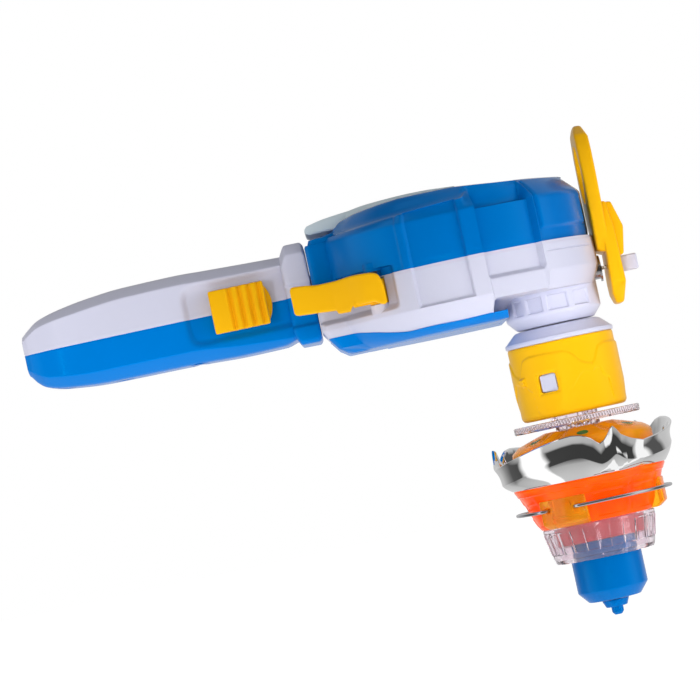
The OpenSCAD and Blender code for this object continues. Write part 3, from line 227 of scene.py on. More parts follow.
# %% [markdown]
# ## Materials
# Nearly every part is injection moulded, so one node group gives them all the same small
# life: a slow drift of colour, a faint orange peel in the gloss and fine handling marks. Each
# material sets the group's values, and keeps its own Principled shader, where the metal, the
# clearness and the painted glow of the clear orange, yellow and amber plastics are set.

# %% Moulded surface group
NOISE_LOW, NOISE_HIGH = 0.3, 0.7
PEEL_DEPTH = 0.2 * MM


def new_group(name, inputs, outputs):
    group = bpy.data.node_groups.new(name, "ShaderNodeTree")
    for label, kind, value in inputs:
        socket = group.interface.new_socket(name=label, in_out="INPUT", socket_type=kind)
        socket.default_value = value
    for label, kind in outputs:
        group.interface.new_socket(name=label, in_out="OUTPUT", socket_type=kind)
    enter = group.nodes.new("NodeGroupInput")
    leave = group.nodes.new("NodeGroupOutput")
    return group, enter, leave


def noise(group, vector, scale_socket, detail):
    node = group.nodes.new("ShaderNodeTexNoise")
    node.inputs["Detail"].default_value = detail
    group.links.new(vector, node.inputs["Vector"])
    group.links.new(scale_socket, node.inputs["Scale"])
    return node


def remap(group, value, low, high):
    node = group.nodes.new("ShaderNodeMapRange")
    node.inputs["From Min"].default_value = NOISE_LOW
    node.inputs["From Max"].default_value = NOISE_HIGH
    group.links.new(value, node.inputs["Value"])
    for socket, source in (("To Min", low), ("To Max", high)):
        if isinstance(source, float):
            node.inputs[socket].default_value = source
        else:
            group.links.new(source, node.inputs[socket])
    return node.outputs["Result"]


moulded, enter, leave = new_group("moulded_surface", [
    ("Colour", "NodeSocketColor", (0.8, 0.8, 0.8, 1)),
    ("Drift colour", "NodeSocketColor", (0.7, 0.7, 0.7, 1)),
    ("Drift size", "NodeSocketFloat", 40.0),
    ("Peel size", "NodeSocketFloat", 900.0),
    ("Peel height", "NodeSocketFloat", 0.05),
    ("Mark size", "NodeSocketFloat", 160.0),
    ("Roughness low", "NodeSocketFloat", 0.2),
    ("Roughness high", "NodeSocketFloat", 0.3),
], [("Colour", "NodeSocketColor"), ("Roughness", "NodeSocketFloat"),
    ("Normal", "NodeSocketVector")])
place = moulded.nodes.new("ShaderNodeTexCoord").outputs["Object"]
drift = noise(moulded, place, enter.outputs["Drift size"], 3)
tint = moulded.nodes.new("ShaderNodeMix")
tint.data_type = "RGBA"
moulded.links.new(remap(moulded, drift.outputs["Fac"], 0.0, 1.0), tint.inputs["Factor"])
moulded.links.new(enter.outputs["Colour"], tint.inputs["A"])
moulded.links.new(enter.outputs["Drift colour"], tint.inputs["B"])
marks = noise(moulded, place, enter.outputs["Mark size"], 6)
marks.inputs["Distortion"].default_value = 1.2
peel = noise(moulded, place, enter.outputs["Peel size"], 2)
bump = moulded.nodes.new("ShaderNodeBump")
bump.inputs["Distance"].default_value = PEEL_DEPTH
moulded.links.new(enter.outputs["Peel height"], bump.inputs["Strength"])
moulded.links.new(peel.outputs["Fac"], bump.inputs["Height"])
moulded.links.new(tint.outputs["Result"], leave.inputs["Colour"])
moulded.links.new(remap(moulded, marks.outputs["Fac"], enter.outputs["Roughness low"],
                        enter.outputs["Roughness high"]), leave.inputs["Roughness"])
moulded.links.new(bump.outputs["Normal"], leave.inputs["Normal"])

# %% Plastics
DRIFT_SHADE = 0.93
BLUE_SHEEN, YELLOW_SHEEN = (0.0, 0.6, 1.0, 1), (1.0, 0.75, 0.1, 1)
LOOKS = {}


def finish(name, colour, drift_colour=None, rough=(0.2, 0.28), drift_size=35.0,
           peel=(900.0, 0.06), **shader_values):
    """A material: values for the surface group, and others for the shader itself."""
    look = bpy.data.materials.new(name)
    look.use_nodes = True
    nodes, links = look.node_tree.nodes, look.node_tree.links
    shader = nodes["Principled BSDF"]
    surface = nodes.new("ShaderNodeGroup")
    surface.node_tree = moulded
    drift_colour = drift_colour or tuple(c * DRIFT_SHADE for c in colour)
    for label, value in (("Colour", (*colour, 1)), ("Drift colour", (*drift_colour, 1)),
                         ("Drift size", drift_size), ("Peel size", peel[0]),
                         ("Peel height", peel[1]), ("Roughness low", rough[0]),
                         ("Roughness high", rough[1])):
        surface.inputs[label].default_value = value
    for label, socket in (("Colour", "Base Color"), ("Roughness", "Roughness"),
                          ("Normal", "Normal")):
        links.new(surface.outputs[label], shader.inputs[socket])
    for socket, value in shader_values.items():
        shader.inputs[socket.replace("_", " ")].default_value = value
    LOOKS[name] = look


finish("white_plastic", (0.615, 0.622, 0.765), (0.60, 0.605, 0.735), rough=(0.3, 0.34),
       Specular_IOR_Level=0.3)
finish("blue_plastic", (0.0, 0.195, 0.665), (0.0, 0.185, 0.625), rough=(0.2, 0.25),
       Specular_IOR_Level=0.35, Specular_Tint=BLUE_SHEEN)
# blue_deep is the blue plastic darkened to paint the shade that falls on the upper shell, the tip
# case and the tip, with a little more gloss
finish("blue_deep", (0.0, 0.155, 0.53), (0.0, 0.145, 0.49), rough=(0.17, 0.22),
       Specular_IOR_Level=0.4, Specular_Tint=BLUE_SHEEN)
finish("yellow_plastic", (0.95, 0.50, 0.006), (0.93, 0.47, 0.005), rough=(0.33, 0.38),
       Specular_IOR_Level=0.4, Specular_Tint=YELLOW_SHEEN)
finish("grey_plastic", (0.64, 0.74, 0.79), rough=(0.4, 0.46), peel=(1500.0, 0.12),
       Specular_IOR_Level=0.3)
finish("inner_plastic", (0.72, 0.70, 0.66), rough=(0.4, 0.5))
finish("red_plastic", (0.70, 0.02, 0.03), rough=(0.25, 0.35))
print(len(LOOKS), "plastics")

# %% Metals, string and clear plastics
finish("steel", (0.56, 0.56, 0.57), (0.48, 0.48, 0.5), rough=(0.16, 0.26), Metallic=1.0)
finish("bronze", (0.55, 0.33, 0.13), rough=(0.3, 0.45), Metallic=1.0)
finish("chrome", (0.84, 0.84, 0.84), (0.80, 0.80, 0.80), rough=(0.03, 0.06),
       peel=(600.0, 0.02), Metallic=1.0)
finish("string", (0.80, 0.80, 0.78), rough=(0.7, 0.85), peel=(2500.0, 0.6))
finish("clear_plastic", (0.93, 0.84, 0.89), (0.90, 0.80, 0.86), rough=(0.03, 0.08),
       Transmission_Weight=0.93, IOR=1.42)
# The emission of the orange, yellow and amber clear plastics is painted glow: it stands in for
# light that shines through the plastic.
finish("orange_clear", (0.97, 0.12, 0.002), (0.85, 0.27, 0.006), rough=(0.06, 0.14),
       drift_size=85.0, Transmission_Weight=0.6, IOR=1.3, Specular_IOR_Level=0.35,
       Emission_Color=(1.0, 0.06, 0.0, 1), Emission_Strength=0.2)
finish("yellow_clear", (0.98, 0.66, 0.03), (0.90, 0.34, 0.01), rough=(0.05, 0.12),
       drift_size=160.0, Transmission_Weight=0.75, IOR=1.35,
       Emission_Color=(1.0, 0.40, 0.0, 1), Emission_Strength=0.06)
finish("amber_clear", (0.95, 0.40, 0.01), (0.55, 0.38, 0.02), rough=(0.08, 0.2),
       drift_size=110.0, Transmission_Weight=0.55, IOR=1.3,
       Emission_Color=(1.0, 0.36, 0.0, 1), Emission_Strength=0.16)
finish("green_clear", (0.06, 0.38, 0.06), rough=(0.1, 0.2), Transmission_Weight=0.3, IOR=1.3)
print(len(LOOKS), "materials")

# %% [markdown]
# ## Dressing a CAD part
# A CAD part has knife edges, and a moulded one never has. The mesh of a part is copied, its
# loose triangles are joined, flat areas become single faces, and a Bevel modifier rounds the
# edges. The result is a plain mesh that stands in the CAD part's place.

# %% Paint and place
SLOT_OF = {row["node"]: row["material_slot"] for row in frame["record"]["subparts"]}
BODY_OF = {node: body for body, nodes in frame["record"]["behaviour"]["bodies"].items()
           for node in nodes}


def paint(piece, slot, look=None):
    piece.data.materials.clear()
    piece.data.materials.append(LOOKS[look or slot])


def smooth(mesh, degrees):
    mesh.shade_smooth()
    mesh.set_sharp_from_angle(angle=math.radians(degrees))


def finished(piece, node, degrees=32, look=None):
    """Smooths and paints the piece, and lets it ride and stand in the place of its node."""
    smooth(piece.data, degrees)
    paint(piece, SLOT_OF[node], look)
    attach(piece, BODY_OF[node])
    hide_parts(node)
    print(piece.name, len(piece.data.polygons), "faces")


# %% Modifiers into plain meshes
def baked(piece):
    """Turns a piece with modifiers into a plain mesh."""
    view = bpy.context.evaluated_depsgraph_get()
    view.update()
    mesh = bpy.data.meshes.new_from_object(piece.evaluated_get(view))
    mesh.name = piece.name
    piece.modifiers.clear()
    piece.data = mesh


def rounded_edges(piece, width, segments=2, degrees=28):
    edge = piece.modifiers.new("edges", "BEVEL")
    edge.width = width * MM
    edge.segments = segments
    edge.limit_method = "ANGLE"
    edge.angle_limit = math.radians(degrees)
    edge.use_clamp_overlap = False
    edge.loop_slide = True
    baked(piece)


# %% A clean copy of a CAD part
JOIN_DIST, FLAT_ANGLE = 0.004 * MM, math.radians(0.6)


def joined_copy(node, name):
    """A copy of a CAD node's mesh with its triangles joined and its flat areas whole."""
    mesh = frame["nodes"][node].data.copy()
    mesh.name = name
    work = bmesh.new()
    work.from_mesh(mesh)
    bmesh.ops.remove_doubles(work, verts=work.verts, dist=JOIN_DIST)
    bmesh.ops.dissolve_degenerate(work, edges=work.edges, dist=JOIN_DIST / 2)
    bmesh.ops.dissolve_limit(work, angle_limit=FLAT_ANGLE, verts=work.verts,
                             edges=work.edges, use_dissolve_boundaries=False)
    work.to_mesh(mesh)
    work.free()
    return added(name, mesh)


# %% CAD parts that keep their meshes
for node, part in frame["nodes"].items():
    part.data.materials.clear()
    part.data.materials.append(LOOKS[SLOT_OF[node]])

# %% [markdown]
# ## Mesh tools
# A loft joins rings of points that all have the same number of points, and closes both ends.
# It makes turned parts, shells and long grips alike. A cut takes one solid from another, as a
# slot or a socket is taken from a moulding by the steel of its mould.

# %% Soft steps
def eased(value, low, high):
    """0 below low, 1 above high and a smooth step between."""
    t = np.clip((np.asarray(value, float) - low) / (high - low), 0, 1)
    return t * t * (3 - 2 * t)


def between(value, low, high, soft):
    """1 from low to high, with soft flanks inside these limits."""
    return eased(value, low, low + soft) * (1 - eased(value, high - soft, high))


# %% Lofts
MERGE_DIST, CORE = 0.0005 * MM, 0.01


def loft(name, rings, ends=True):
    """A closed mesh through rings of points in millimetres, with two ends or joined round."""
    count, last = len(rings[0]), len(rings) - 1
    points = [tuple(float(c) * MM for c in p) for ring in rings for p in ring]
    steps = [(i, i + 1) for i in range(last)] + ([] if ends else [(last, 0)])
    faces = []
    for low, high in steps:
        for j in range(count):
            k = (j + 1) % count
            faces.append((low * count + j, low * count + k, high * count + k, high * count + j))
    if ends:
        faces.append(tuple(reversed(range(count))))
        faces.append(tuple(last * count + j for j in range(count)))
    mesh = bpy.data.meshes.new(name)
    mesh.from_pydata(points, [], faces)
    tidy_mesh(mesh)
    return added(name, mesh)


def tidy_mesh(mesh):
    """Joins points that fall together and turns every face outward."""
    work = bmesh.new()
    work.from_mesh(mesh)
    bmesh.ops.remove_doubles(work, verts=work.verts, dist=MERGE_DIST)
    bmesh.ops.recalc_face_normals(work, faces=work.faces)
    work.to_mesh(mesh)
    work.free()


def box(name, low, high):
    (x0, y0, z0), (x1, y1, z1) = low, high
    return loft(name, [[(x0, y0, z), (x1, y0, z), (x1, y1, z), (x0, y1, z)] for z in (z0, z1)])


def prism(name, points, low, high, along="y"):
    """A polygon in the two other axes, pulled from low to high along x, y or z."""
    place = {"x": lambda a, b, t: (t, a, b), "y": lambda a, b, t: (a, t, b),
             "z": lambda a, b, t: (a, b, t)}[along]
    return loft(name, [[place(a, b, t) for a, b in points] for t in (low, high)])


def turned(name, profile, steps=144, at=(0, 0)):
    """Turns a closed profile of radius and height round a vertical axis."""
    rings = []
    for i in range(steps):
        a = 2 * math.pi * i / steps
        rings.append([(at[0] + r * math.cos(a), at[1] + r * math.sin(a), z) for r, z in profile])
    return loft(name, rings, ends=False)


def pillar(name, radius, low, high, steps, at=(0, 0)):
    """A plain upright cylinder with a hair-thin core, as a tool for a hole or a boss."""
    return turned(name, [(CORE, low), (radius, low), (radius, high), (CORE, high)], steps, at)


# %% Cuts
def combine(piece, others, operation="DIFFERENCE"):
    """Cuts the other solids out of the piece, or joins them to it, and deletes them."""
    for other in others:
        step = piece.modifiers.new(operation.lower(), "BOOLEAN")
        step.operation = operation
        step.solver = "EXACT"
        step.object = other
    baked(piece)
    for other in others:
        bpy.data.objects.remove(other)
    tidy_mesh(piece.data)


# %% [markdown]
# ## Copies round the axis
# Ribs, flutes and seats repeat round the top's axis. A geometry nodes group with named inputs
# stands the copies there, so a change of their count is one number. It ends in Realize Instances
# and Set Material, because copies that are only instances would be lost in an export.

# %% The group that stands copies round the axis
def around_group():
    tree = bpy.data.node_groups.new("around_axis", "GeometryNodeTree")
    face = tree.interface
    ids = {}
    for label, kind, value in (("Geometry", "NodeSocketGeometry", None),
                               ("Unit", "NodeSocketObject", None),
                               ("Count", "NodeSocketInt", 12),
                               ("Start angle", "NodeSocketFloat", 0.0),
                               ("Size spread", "NodeSocketFloat", 0.0),
                               ("Seed", "NodeSocketInt", 7),
                               ("Material", "NodeSocketMaterial", None)):
        socket = face.new_socket(label, in_out="INPUT", socket_type=kind)
        if value is not None:
            socket.default_value = value
        ids[label] = socket.identifier
    face.new_socket("Geometry", in_out="OUTPUT", socket_type="NodeSocketGeometry")
    add, link = tree.nodes.new, tree.links.new
    enter, leave = add("NodeGroupInput"), add("NodeGroupOutput")
    unit = add("GeometryNodeObjectInfo")
    link(enter.outputs["Unit"], unit.inputs["Object"])
    points = add("GeometryNodePoints")
    link(enter.outputs["Count"], points.inputs["Count"])
    step = add("ShaderNodeMath")
    step.operation = "DIVIDE"
    step.inputs[0].default_value = 2 * math.pi
    link(enter.outputs["Count"], step.inputs[1])
    angle = add("ShaderNodeMath")
    angle.operation = "MULTIPLY_ADD"
    link(add("GeometryNodeInputIndex").outputs["Index"], angle.inputs[0])
    link(step.outputs[0], angle.inputs[1])
    link(enter.outputs["Start angle"], angle.inputs[2])
    turn_by = add("ShaderNodeCombineXYZ")
    link(angle.outputs[0], turn_by.inputs["Z"])
    size = add("FunctionNodeRandomValue")
    size.data_type = "FLOAT"
    least = add("ShaderNodeMath")
    least.operation = "SUBTRACT"
    least.inputs[0].default_value = 1.0
    link(enter.outputs["Size spread"], least.inputs[1])
    float_low, float_high, float_value = size.inputs[2], size.inputs[3], size.outputs[1]
    link(least.outputs[0], float_low)
    float_high.default_value = 1.0
    link(enter.outputs["Seed"], size.inputs["Seed"])
    copies = add("GeometryNodeInstanceOnPoints")
    link(points.outputs[0], copies.inputs["Points"])
    link(unit.outputs["Geometry"], copies.inputs["Instance"])
    link(turn_by.outputs[0], copies.inputs["Rotation"])
    link(float_value, copies.inputs["Scale"])
    real, coat = add("GeometryNodeRealizeInstances"), add("GeometryNodeSetMaterial")
    link(copies.outputs[0], real.inputs[0])
    link(real.outputs[0], coat.inputs["Geometry"])
    link(enter.outputs["Material"], coat.inputs["Material"])
    link(coat.outputs[0], leave.inputs["Geometry"])
    return tree, ids


AROUND, AROUND_INPUTS = around_group()


def around(name, unit, count, look, start=0.0, spread=0.0, seed=7):
    """Copies of the unit round the axis, as one plain mesh; the unit is deleted."""
    piece = added(name, bpy.data.meshes.new(name))
    step = piece.modifiers.new("around", "NODES")
    step.node_group = AROUND
    for label, value in (("Unit", unit), ("Count", count), ("Start angle", math.radians(start)),
                         ("Size spread", spread), ("Seed", seed), ("Material", LOOKS[look])):
        step[AROUND_INPUTS[label]] = value
    baked(piece)
    bpy.data.objects.remove(unit)
    return piece


# %% A smooth line through points
def curve_value(points, x):
    """A smooth line through points (x, y), without overshoot."""
    xs, ys = np.array([p[0] for p in points]), np.array([p[1] for p in points])
    steps = np.diff(xs)
    slopes = np.diff(ys) / steps
    ends = np.concatenate([[slopes[0]], np.where(
        slopes[:-1] * slopes[1:] > 0,
        2 * slopes[:-1] * slopes[1:] / np.where(slopes[:-1] + slopes[1:] == 0, 1,
                                                slopes[:-1] + slopes[1:]), 0), [slopes[-1]]])
    x = np.clip(x, xs[0], xs[-1])
    i = np.clip(np.searchsorted(xs, x, side="right") - 1, 0, len(steps) - 1)
    h, t = steps[i], (x - xs[i]) / steps[i]
    return ((2 * t**3 - 3 * t**2 + 1) * ys[i] + (t**3 - 2 * t**2 + t) * h * ends[i]
            + (-2 * t**3 + 3 * t**2) * ys[i + 1] + (t**3 - t**2) * h * ends[i + 1])


# %% [markdown]
# ## The body's two shells
# The side of the body is moulded in one go, with ribs, sunk panels and bevels that run into
# each other by soft steps. So each shell is a loft of rings round the body's centre, whose
# radius follows from the angle and the height. Every feature is one soft step in that radius,
# which keeps all the corners as round as a mould's. The cavity, the pocket of the trigger and
# the holes are then cut out.

# %% Body outline
PARTING, SHELL_LOW, BODY_X, BODY_R, REAR_X, REAR_HALF = 49.3, 32.0, -25.0, 40.6, -66.7, 19.0
REAR_REACH = BODY_X - REAR_X
CORNER_ANGLES = (24.49, 27.9, 22.4)
STEP_ANGLES = (110.0, 112.0, 109.0, 113.0, 86.4, 85.2, 80.6, 79.4, 54.2, 53.0)
TINY = 1e-6

angles = np.unique(np.round(np.concatenate([
    np.arange(-180, 180, 0.75), [s * (180 - a) for s in (-1, 1) for a in CORNER_ANGLES],
    [s * a for s in (-1, 1) for a in STEP_ANGLES]]), 2))
side, turn = -np.abs(angles), np.radians(angles)


def with_block(radius, reach, half, corner_cut=0.0):
    """A circle round the body's centre, out of which the rear block stands."""
    along, across = np.abs(np.cos(turn)), np.abs(np.sin(turn))
    block = np.minimum(reach / np.maximum(along, TINY), half / np.maximum(across, TINY))
    block = np.minimum(block, (reach + half - corner_cut) / (along + across))
    return np.maximum(radius, np.where(np.cos(turn) < 0, block, 0))


outline = with_block(BODY_R, REAR_REACH, REAR_HALF, 1.2)
in_block = eased(outline, BODY_R + 0.02, BODY_R + 0.3)

rib = between(side, -113.4, -109.2, 1.0)
panel_b = between(side, -109.6, -86.0, 0.8)
ridge = between(side, -86.4, -79.6, 1.1)
panel_c = between(side, -79.6, -53.4, 0.9)
panel_d = between(side, -52.2, -17.0, 1.8)
front = eased(side, -84.0, -80.5)
B_DEPTH, RIDGE_DEPTH, C_DEPTH = 1.25, 0.1, 2.3
print("body outline of", len(angles), "points")

# %% Rooms in the shells
PIN, PIN_R, SEAT_R, KNUCKLE_R, KNUCKLE_PLAY = (-49.0, -29.8), 1.3, 2.75, 2.7, 0.25
POCKET_R, POCKET_REACH, POCKET_LOW, POCKET_HIGH = 37.7, 19.0, 38.9, 51.7
TONGUE_HALF_W, TONGUE_HALF_H = 8.1, 5.7


def pocketed(radius, z):
    """Sinks the room of the trigger into the wall, with soft slopes to the right and below."""
    reach = POCKET_REACH / np.maximum(np.abs(np.sin(turn)), 0.05)
    deep = np.minimum(np.maximum(POCKET_R, reach), radius)
    share = (angles > -153) * (1 - eased(angles, -120.6, -116.9))
    share = share * eased(z, POCKET_LOW, POCKET_LOW + 2.2)
    share = share * (1 - eased(z, POCKET_HIGH - 0.3, POCKET_HIGH))
    return radius * (1 - share) + deep * share


def seat_pin(shell, low, high):
    """Adds a boss round the trigger's pin to the shell, and drills the pin's hole."""
    combine(shell, [pillar("pin_seat", SEAT_R, low, high, 40, PIN)], "UNION")
    combine(shell, [pillar("pin_hole", PIN_R, 38.5, 53.6, 32, PIN)])


def shell_rooms():
    """The tongue's window, and what the trigger's knuckle and arm need behind the pocket."""
    x, y = PIN
    return [box("window", (-70, -TONGUE_HALF_W, PARTING - TONGUE_HALF_H),
                (-58, TONGUE_HALF_W, PARTING + TONGUE_HALF_H)),
            pillar("knuckle_room", KNUCKLE_R + KNUCKLE_PLAY, 41.3, 49.0, 40, PIN),
            box("arm_room", (x - 1.7, y - 0.6, 43.6), (x + 2.9, y + 8.8, 48.8))]


def ring_at(radius, z):
    """The points of one ring round the body, from a radius and a height at every angle."""
    radius = np.broadcast_to(np.asarray(radius, float), angles.shape)
    z = np.broadcast_to(np.asarray(z, float), angles.shape)
    return list(zip(BODY_X + radius * np.cos(turn), radius * np.sin(turn), z))


# %% Upper shell
def upper_side(z):
    """The blue wall: B and C are sunk, and field D stands out of a sunk front."""
    in_d = panel_d * between(z, 52.6, 62.6, 0.9)
    low_band = 1 - eased(z, 50.2, 51.2)
    return pocketed(outline - 0.35 * (1 - in_block) * (1 - rib) * (1 - front) * (side < -109)
                    - B_DEPTH * panel_b - RIDGE_DEPTH * ridge - C_DEPTH * panel_c
                    - 0.95 * eased(side, -53.0, -51.8) * (1 - in_d) - 0.12 * low_band, z)


where_x = BODY_X + 33.5 * np.cos(turn)
crown_top = np.interp(where_x, [-58.5, -55, -51, -44, -38, -22, -10, 4, 9],
                      [65.9, 67.7, 68.6, 69.3, 69.7, 69.5, 68.5, 67.7, 67.6])
groove = np.interp(where_x, [-58, -49, -25, -15], [63.9, 64.3, 65.7, 66.2])
facet = 1 - in_block
rings = [ring_at(upper_side(z), z) for z in np.unique(np.concatenate([
    np.linspace(PARTING, 51.3, 5), [51.4, 51.5, 51.6, 51.7], np.linspace(52.0, 61.9, 24)]))]
wall, edge = upper_side(61.9), upper_side(62.0)


def mixed(rear_value, front_value, panel_value):
    """One value for the rear, one for the front and one for the sunk panel C."""
    value = rear_value * (1 - front) + front_value * front
    return value * (1 - panel_c) + panel_value * panel_c


rings += [ring_at(mixed(*radii), mixed(*heights)) for radii, heights in (
    ((edge - 0.08, edge - 0.1, wall - 0.1), (62.35, 62.5, 61.95)),
    ((edge - 0.35, edge - 0.45, wall - 0.5), (62.75, 63.0, 62.1)),
    ((edge - 1.0 * facet - 1.1 * in_block, edge - 2.6, wall - 2.3),
     (63.7 * facet + 62.8 * in_block, 65.2, 62.2)),
    ((edge - 1.7 * facet - 1.5 * in_block, edge - 4.3, wall - 2.7), (groove - 0.25, 66.9, 62.6)),
    ((38.0 * facet + (edge - 1.6) * in_block, edge - 4.9, wall - 2.9), (groove, 67.3, 64.4)),
    ((37.8 * facet + (edge - 1.7) * in_block, 35.3, 35.0), (groove + 0.1, 67.45, 66.6)))]
for share in (0.3, 0.6, 0.9):
    climb = [low + (crown_top - low) * share for low in (groove, 67.45, 66.6)]
    rings.append(ring_at(mixed(37.8 - 3.9 * share, 35.3 - 1.2 * share, 35.0 - 0.9 * share),
                         mixed(*climb)))
rings += [ring_at(radius, z) for radius, z in ((33.7, crown_top - 0.05), (33.2, crown_top),
                                               (32.6, crown_top - 0.15), (32.3, 65.6),
                                               (20.0, 65.6))]
upper_shell = loft("upper_shell_moulded", rings)
cavity = turned("cavity", [(CORE, 46), (36.4, 46), (36.4, 61.0), (34.0, 62.4), (CORE, 62.4)],
                96, (BODY_X, 0))
combine(upper_shell, [cavity] + shell_rooms())
seat_pin(upper_shell, 50.95, 53.4)
# The upper shell takes the darker blue that paints its shade.
finished(upper_shell, "body_upper_shell", 40, "blue_deep")

# %% Lower shell
BEVEL_W, BEVEL_TOP, LEDGE_HALF = 4.6, 37.7, 21.6
REAR_SCREWS, FRONT_SCREWS = ((-57.07, -9.54), (-50.58, 21.11)), ((-7.95, 22.74), (-7.95, -22.74))
SCREW_ROOM_R, PLATE_ROOM_R = 2.75, 3.2
ledge = with_block(BODY_R, REAR_REACH, LEDGE_HALF, 1.4)


def lower_side(z):
    """The wall over the bevel: panels B and C are sunk, and C has a ledge under it."""
    sunk_b = panel_b * eased(z, 37.6, 38.5)
    sunk_c = panel_c * eased(z, 41.4, 42.8)
    box_c = panel_c * (1 - eased(z, 41.4, 42.8))
    line_d = panel_d * between(z, 46.1, 46.7, 0.25)
    block_low = np.where(angles < -120, ledge, outline)
    wall = outline + (block_low - outline) * (1 - eased(z, 39.6, 40.6))
    return pocketed(wall - B_DEPTH * sunk_b - RIDGE_DEPTH * ridge - C_DEPTH * sunk_c
                    - 0.55 * box_c - 0.3 * line_d - 0.12 * eased(z, 48.4, 48.9), z)


in_front = eased(side, -79.6, -78.4)
in_d = eased(side, -54.0, -52.0)
start = BEVEL_TOP + 3.3 * in_d - 1.5 * panel_c
foot = SHELL_LOW + 3.8 * in_front
rings = [ring_at(9.0, SHELL_LOW), ring_at(16.0, foot),
         ring_at(outline - BEVEL_W - 0.5 - in_front, foot)]
for share in (0.0, 0.12, 0.5, 0.88, 1.0):
    reach = BEVEL_W * (1 - share) * (1 - 0.45 * in_front) - 0.25 * math.sin(math.pi * share)
    rings.append(ring_at(lower_side(start) - reach, foot + (start - foot) * share))
for share in np.linspace(0.02, 1, 60):
    z = start + (PARTING - start) * share
    rings.append(ring_at(lower_side(z), z))
lower_shell = loft("lower_shell_moulded", rings)

# %% Neck and rooms of the lower shell
NECK_PROFILE = ((26.4, 9.8), (26.4, 11.0), (26.6, 11.5), (28.9, 13.5), (29.3, 13.8), (29.7, 13.9),
                (30.2, 13.9), (30.6, 13.9), (34.4, 13.9), (34.8, 13.9), (38.5, 13.9))
NECK_FIELDS, FIELD_DEPTH = ((-148, -131), (-126, -104), (-99, -72), (-66, -42)), 0.7
neck_turn = np.radians(np.arange(0, 360, 1.0))
facing = np.degrees(np.arctan2(np.sin(neck_turn), np.cos(neck_turn)))
fields = sum(between(facing, low, high, 2.2) for low, high in NECK_FIELDS)
neck_rings = []
for z, r in NECK_PROFILE:
    radius = r - FIELD_DEPTH * fields * (30.5 < z < 34.5)
    neck_rings.append(list(zip(radius * np.cos(neck_turn), radius * np.sin(neck_turn),
                               np.full(neck_turn.shape, z))))
neck = loft("neck", neck_rings)
screw_rooms = [pillar("screw_room", SCREW_ROOM_R, 30, top, 32, place)
               for places, top in ((REAR_SCREWS, 33.6), (FRONT_SCREWS, 37.9)) for place in places]
bore = pillar("bore", 6.4, 20, 42, 64)
cavity = turned("cavity", [(CORE, 38.0), (34.2, 38.0), (36.0, 42), (36.2, 52), (CORE, 52)],
                96, (BODY_X, 0))
combine(lower_shell, [neck], "UNION")
combine(lower_shell, [cavity, bore] + shell_rooms() + screw_rooms)
seat_pin(lower_shell, 38.8, 41.5)
finished(lower_shell, "body_lower_shell", 40)

# %% Body screws
FRONT_FROM_X, HEADS_UNDER_Z, FRONT_LIFT = -14.2 * MM, 36 * MM, 4.2 * MM
screws = joined_copy("body_screws", "body_screws_set")
for vertex in screws.data.vertices:
    if vertex.co.x > FRONT_FROM_X and vertex.co.z < HEADS_UNDER_Z:
        vertex.co.z += FRONT_LIFT
finished(screws, "body_screws")

# %% [markdown]
# ## The blue bottom plate
# The plate closes the body from below. Its bevelled rim climbs the white shell's bevel towards
# the rear in a long S-line, so the rim's height follows from the place along the body.

# %% Bottom plate
where_x = BODY_X + outline * np.cos(turn)
rim_z = curve_value([(-67, 35.2), (-60, 35.4), (-54.5, 34.4), (-49, 33.0), (-44, 32.3),
                     (-37, 32.4), (-28, 32.25), (-15, 32.5), (20, 32.5)], where_x)


def bevel_at(z):
    return lower_side(start) - BEVEL_W * (1 - (z - SHELL_LOW) / (BEVEL_TOP - SHELL_LOW))


rings = [ring_at(8.0, 30.2), ring_at(outline - 7.1, 30.2), ring_at(outline - 6.6, 30.4)]
for share in (0.0, 0.5, 1.0):
    z = SHELL_LOW + (rim_z - SHELL_LOW) * share
    rings.append(ring_at(bevel_at(z) + 0.42 - 0.1 * share, z - 0.12 * share))
rings += [ring_at(bevel_at(rim_z) + 0.12, rim_z), ring_at(bevel_at(rim_z) - 0.9, rim_z - 0.1),
          ring_at(outline - 7.0, SHELL_LOW + 0.1), ring_at(8.0, SHELL_LOW + 0.1)]
bottom_plate = loft("bottom_plate_moulded", rings)
screw_rooms = [pillar("screw_room", PLATE_ROOM_R, 28, 34, 32, place) for place in REAR_SCREWS]
combine(bottom_plate, [box("front", (-14.25, -45, 25), (20, 45, 40))] + screw_rooms)
finished(bottom_plate, "bottom_plate", 30)

# %% [markdown]
# ## The trigger
# The lever's outline is an S seen from the side and a soft bow seen from above. A row of
# rounded sections follows both lines. The knuckle and the inner arm join on behind it, and the
# pin's hole goes through.

# %% Trigger lever
LEVER_TOP = [(-73.2, 50.6), (-72.9, 51.3), (-72.2, 51.6), (-69, 51.3), (-64.9, 50.75),
             (-60.5, 50.7), (-55.3, 51.0), (-50.6, 50.7), (-49.2, 50.4), (-48.0, 49.7),
             (-47.3, 48.2), (-46.95, 46.5)]
LEVER_LOW = [(-73.2, 44.2), (-72.9, 43.6), (-72.0, 43.3), (-66.7, 42.9), (-61.4, 42.4),
             (-61.0, 41.5), (-60.4, 41.3), (-57.5, 41.2), (-57.1, 41.9), (-56.6, 42.45),
             (-50.2, 42.4), (-49.6, 41.9), (-48.6, 41.3), (-47.6, 41.1), (-46.95, 41.5)]
LEVER_BOW = [(-73.2, -27.9), (-64.0, -29.2), (-58.4, -32.0), (-52.2, -36.2), (-46.95, -38.0)]
LEVER_THICK, LEVER_SOFT = 3.0, 0.75
rings = []
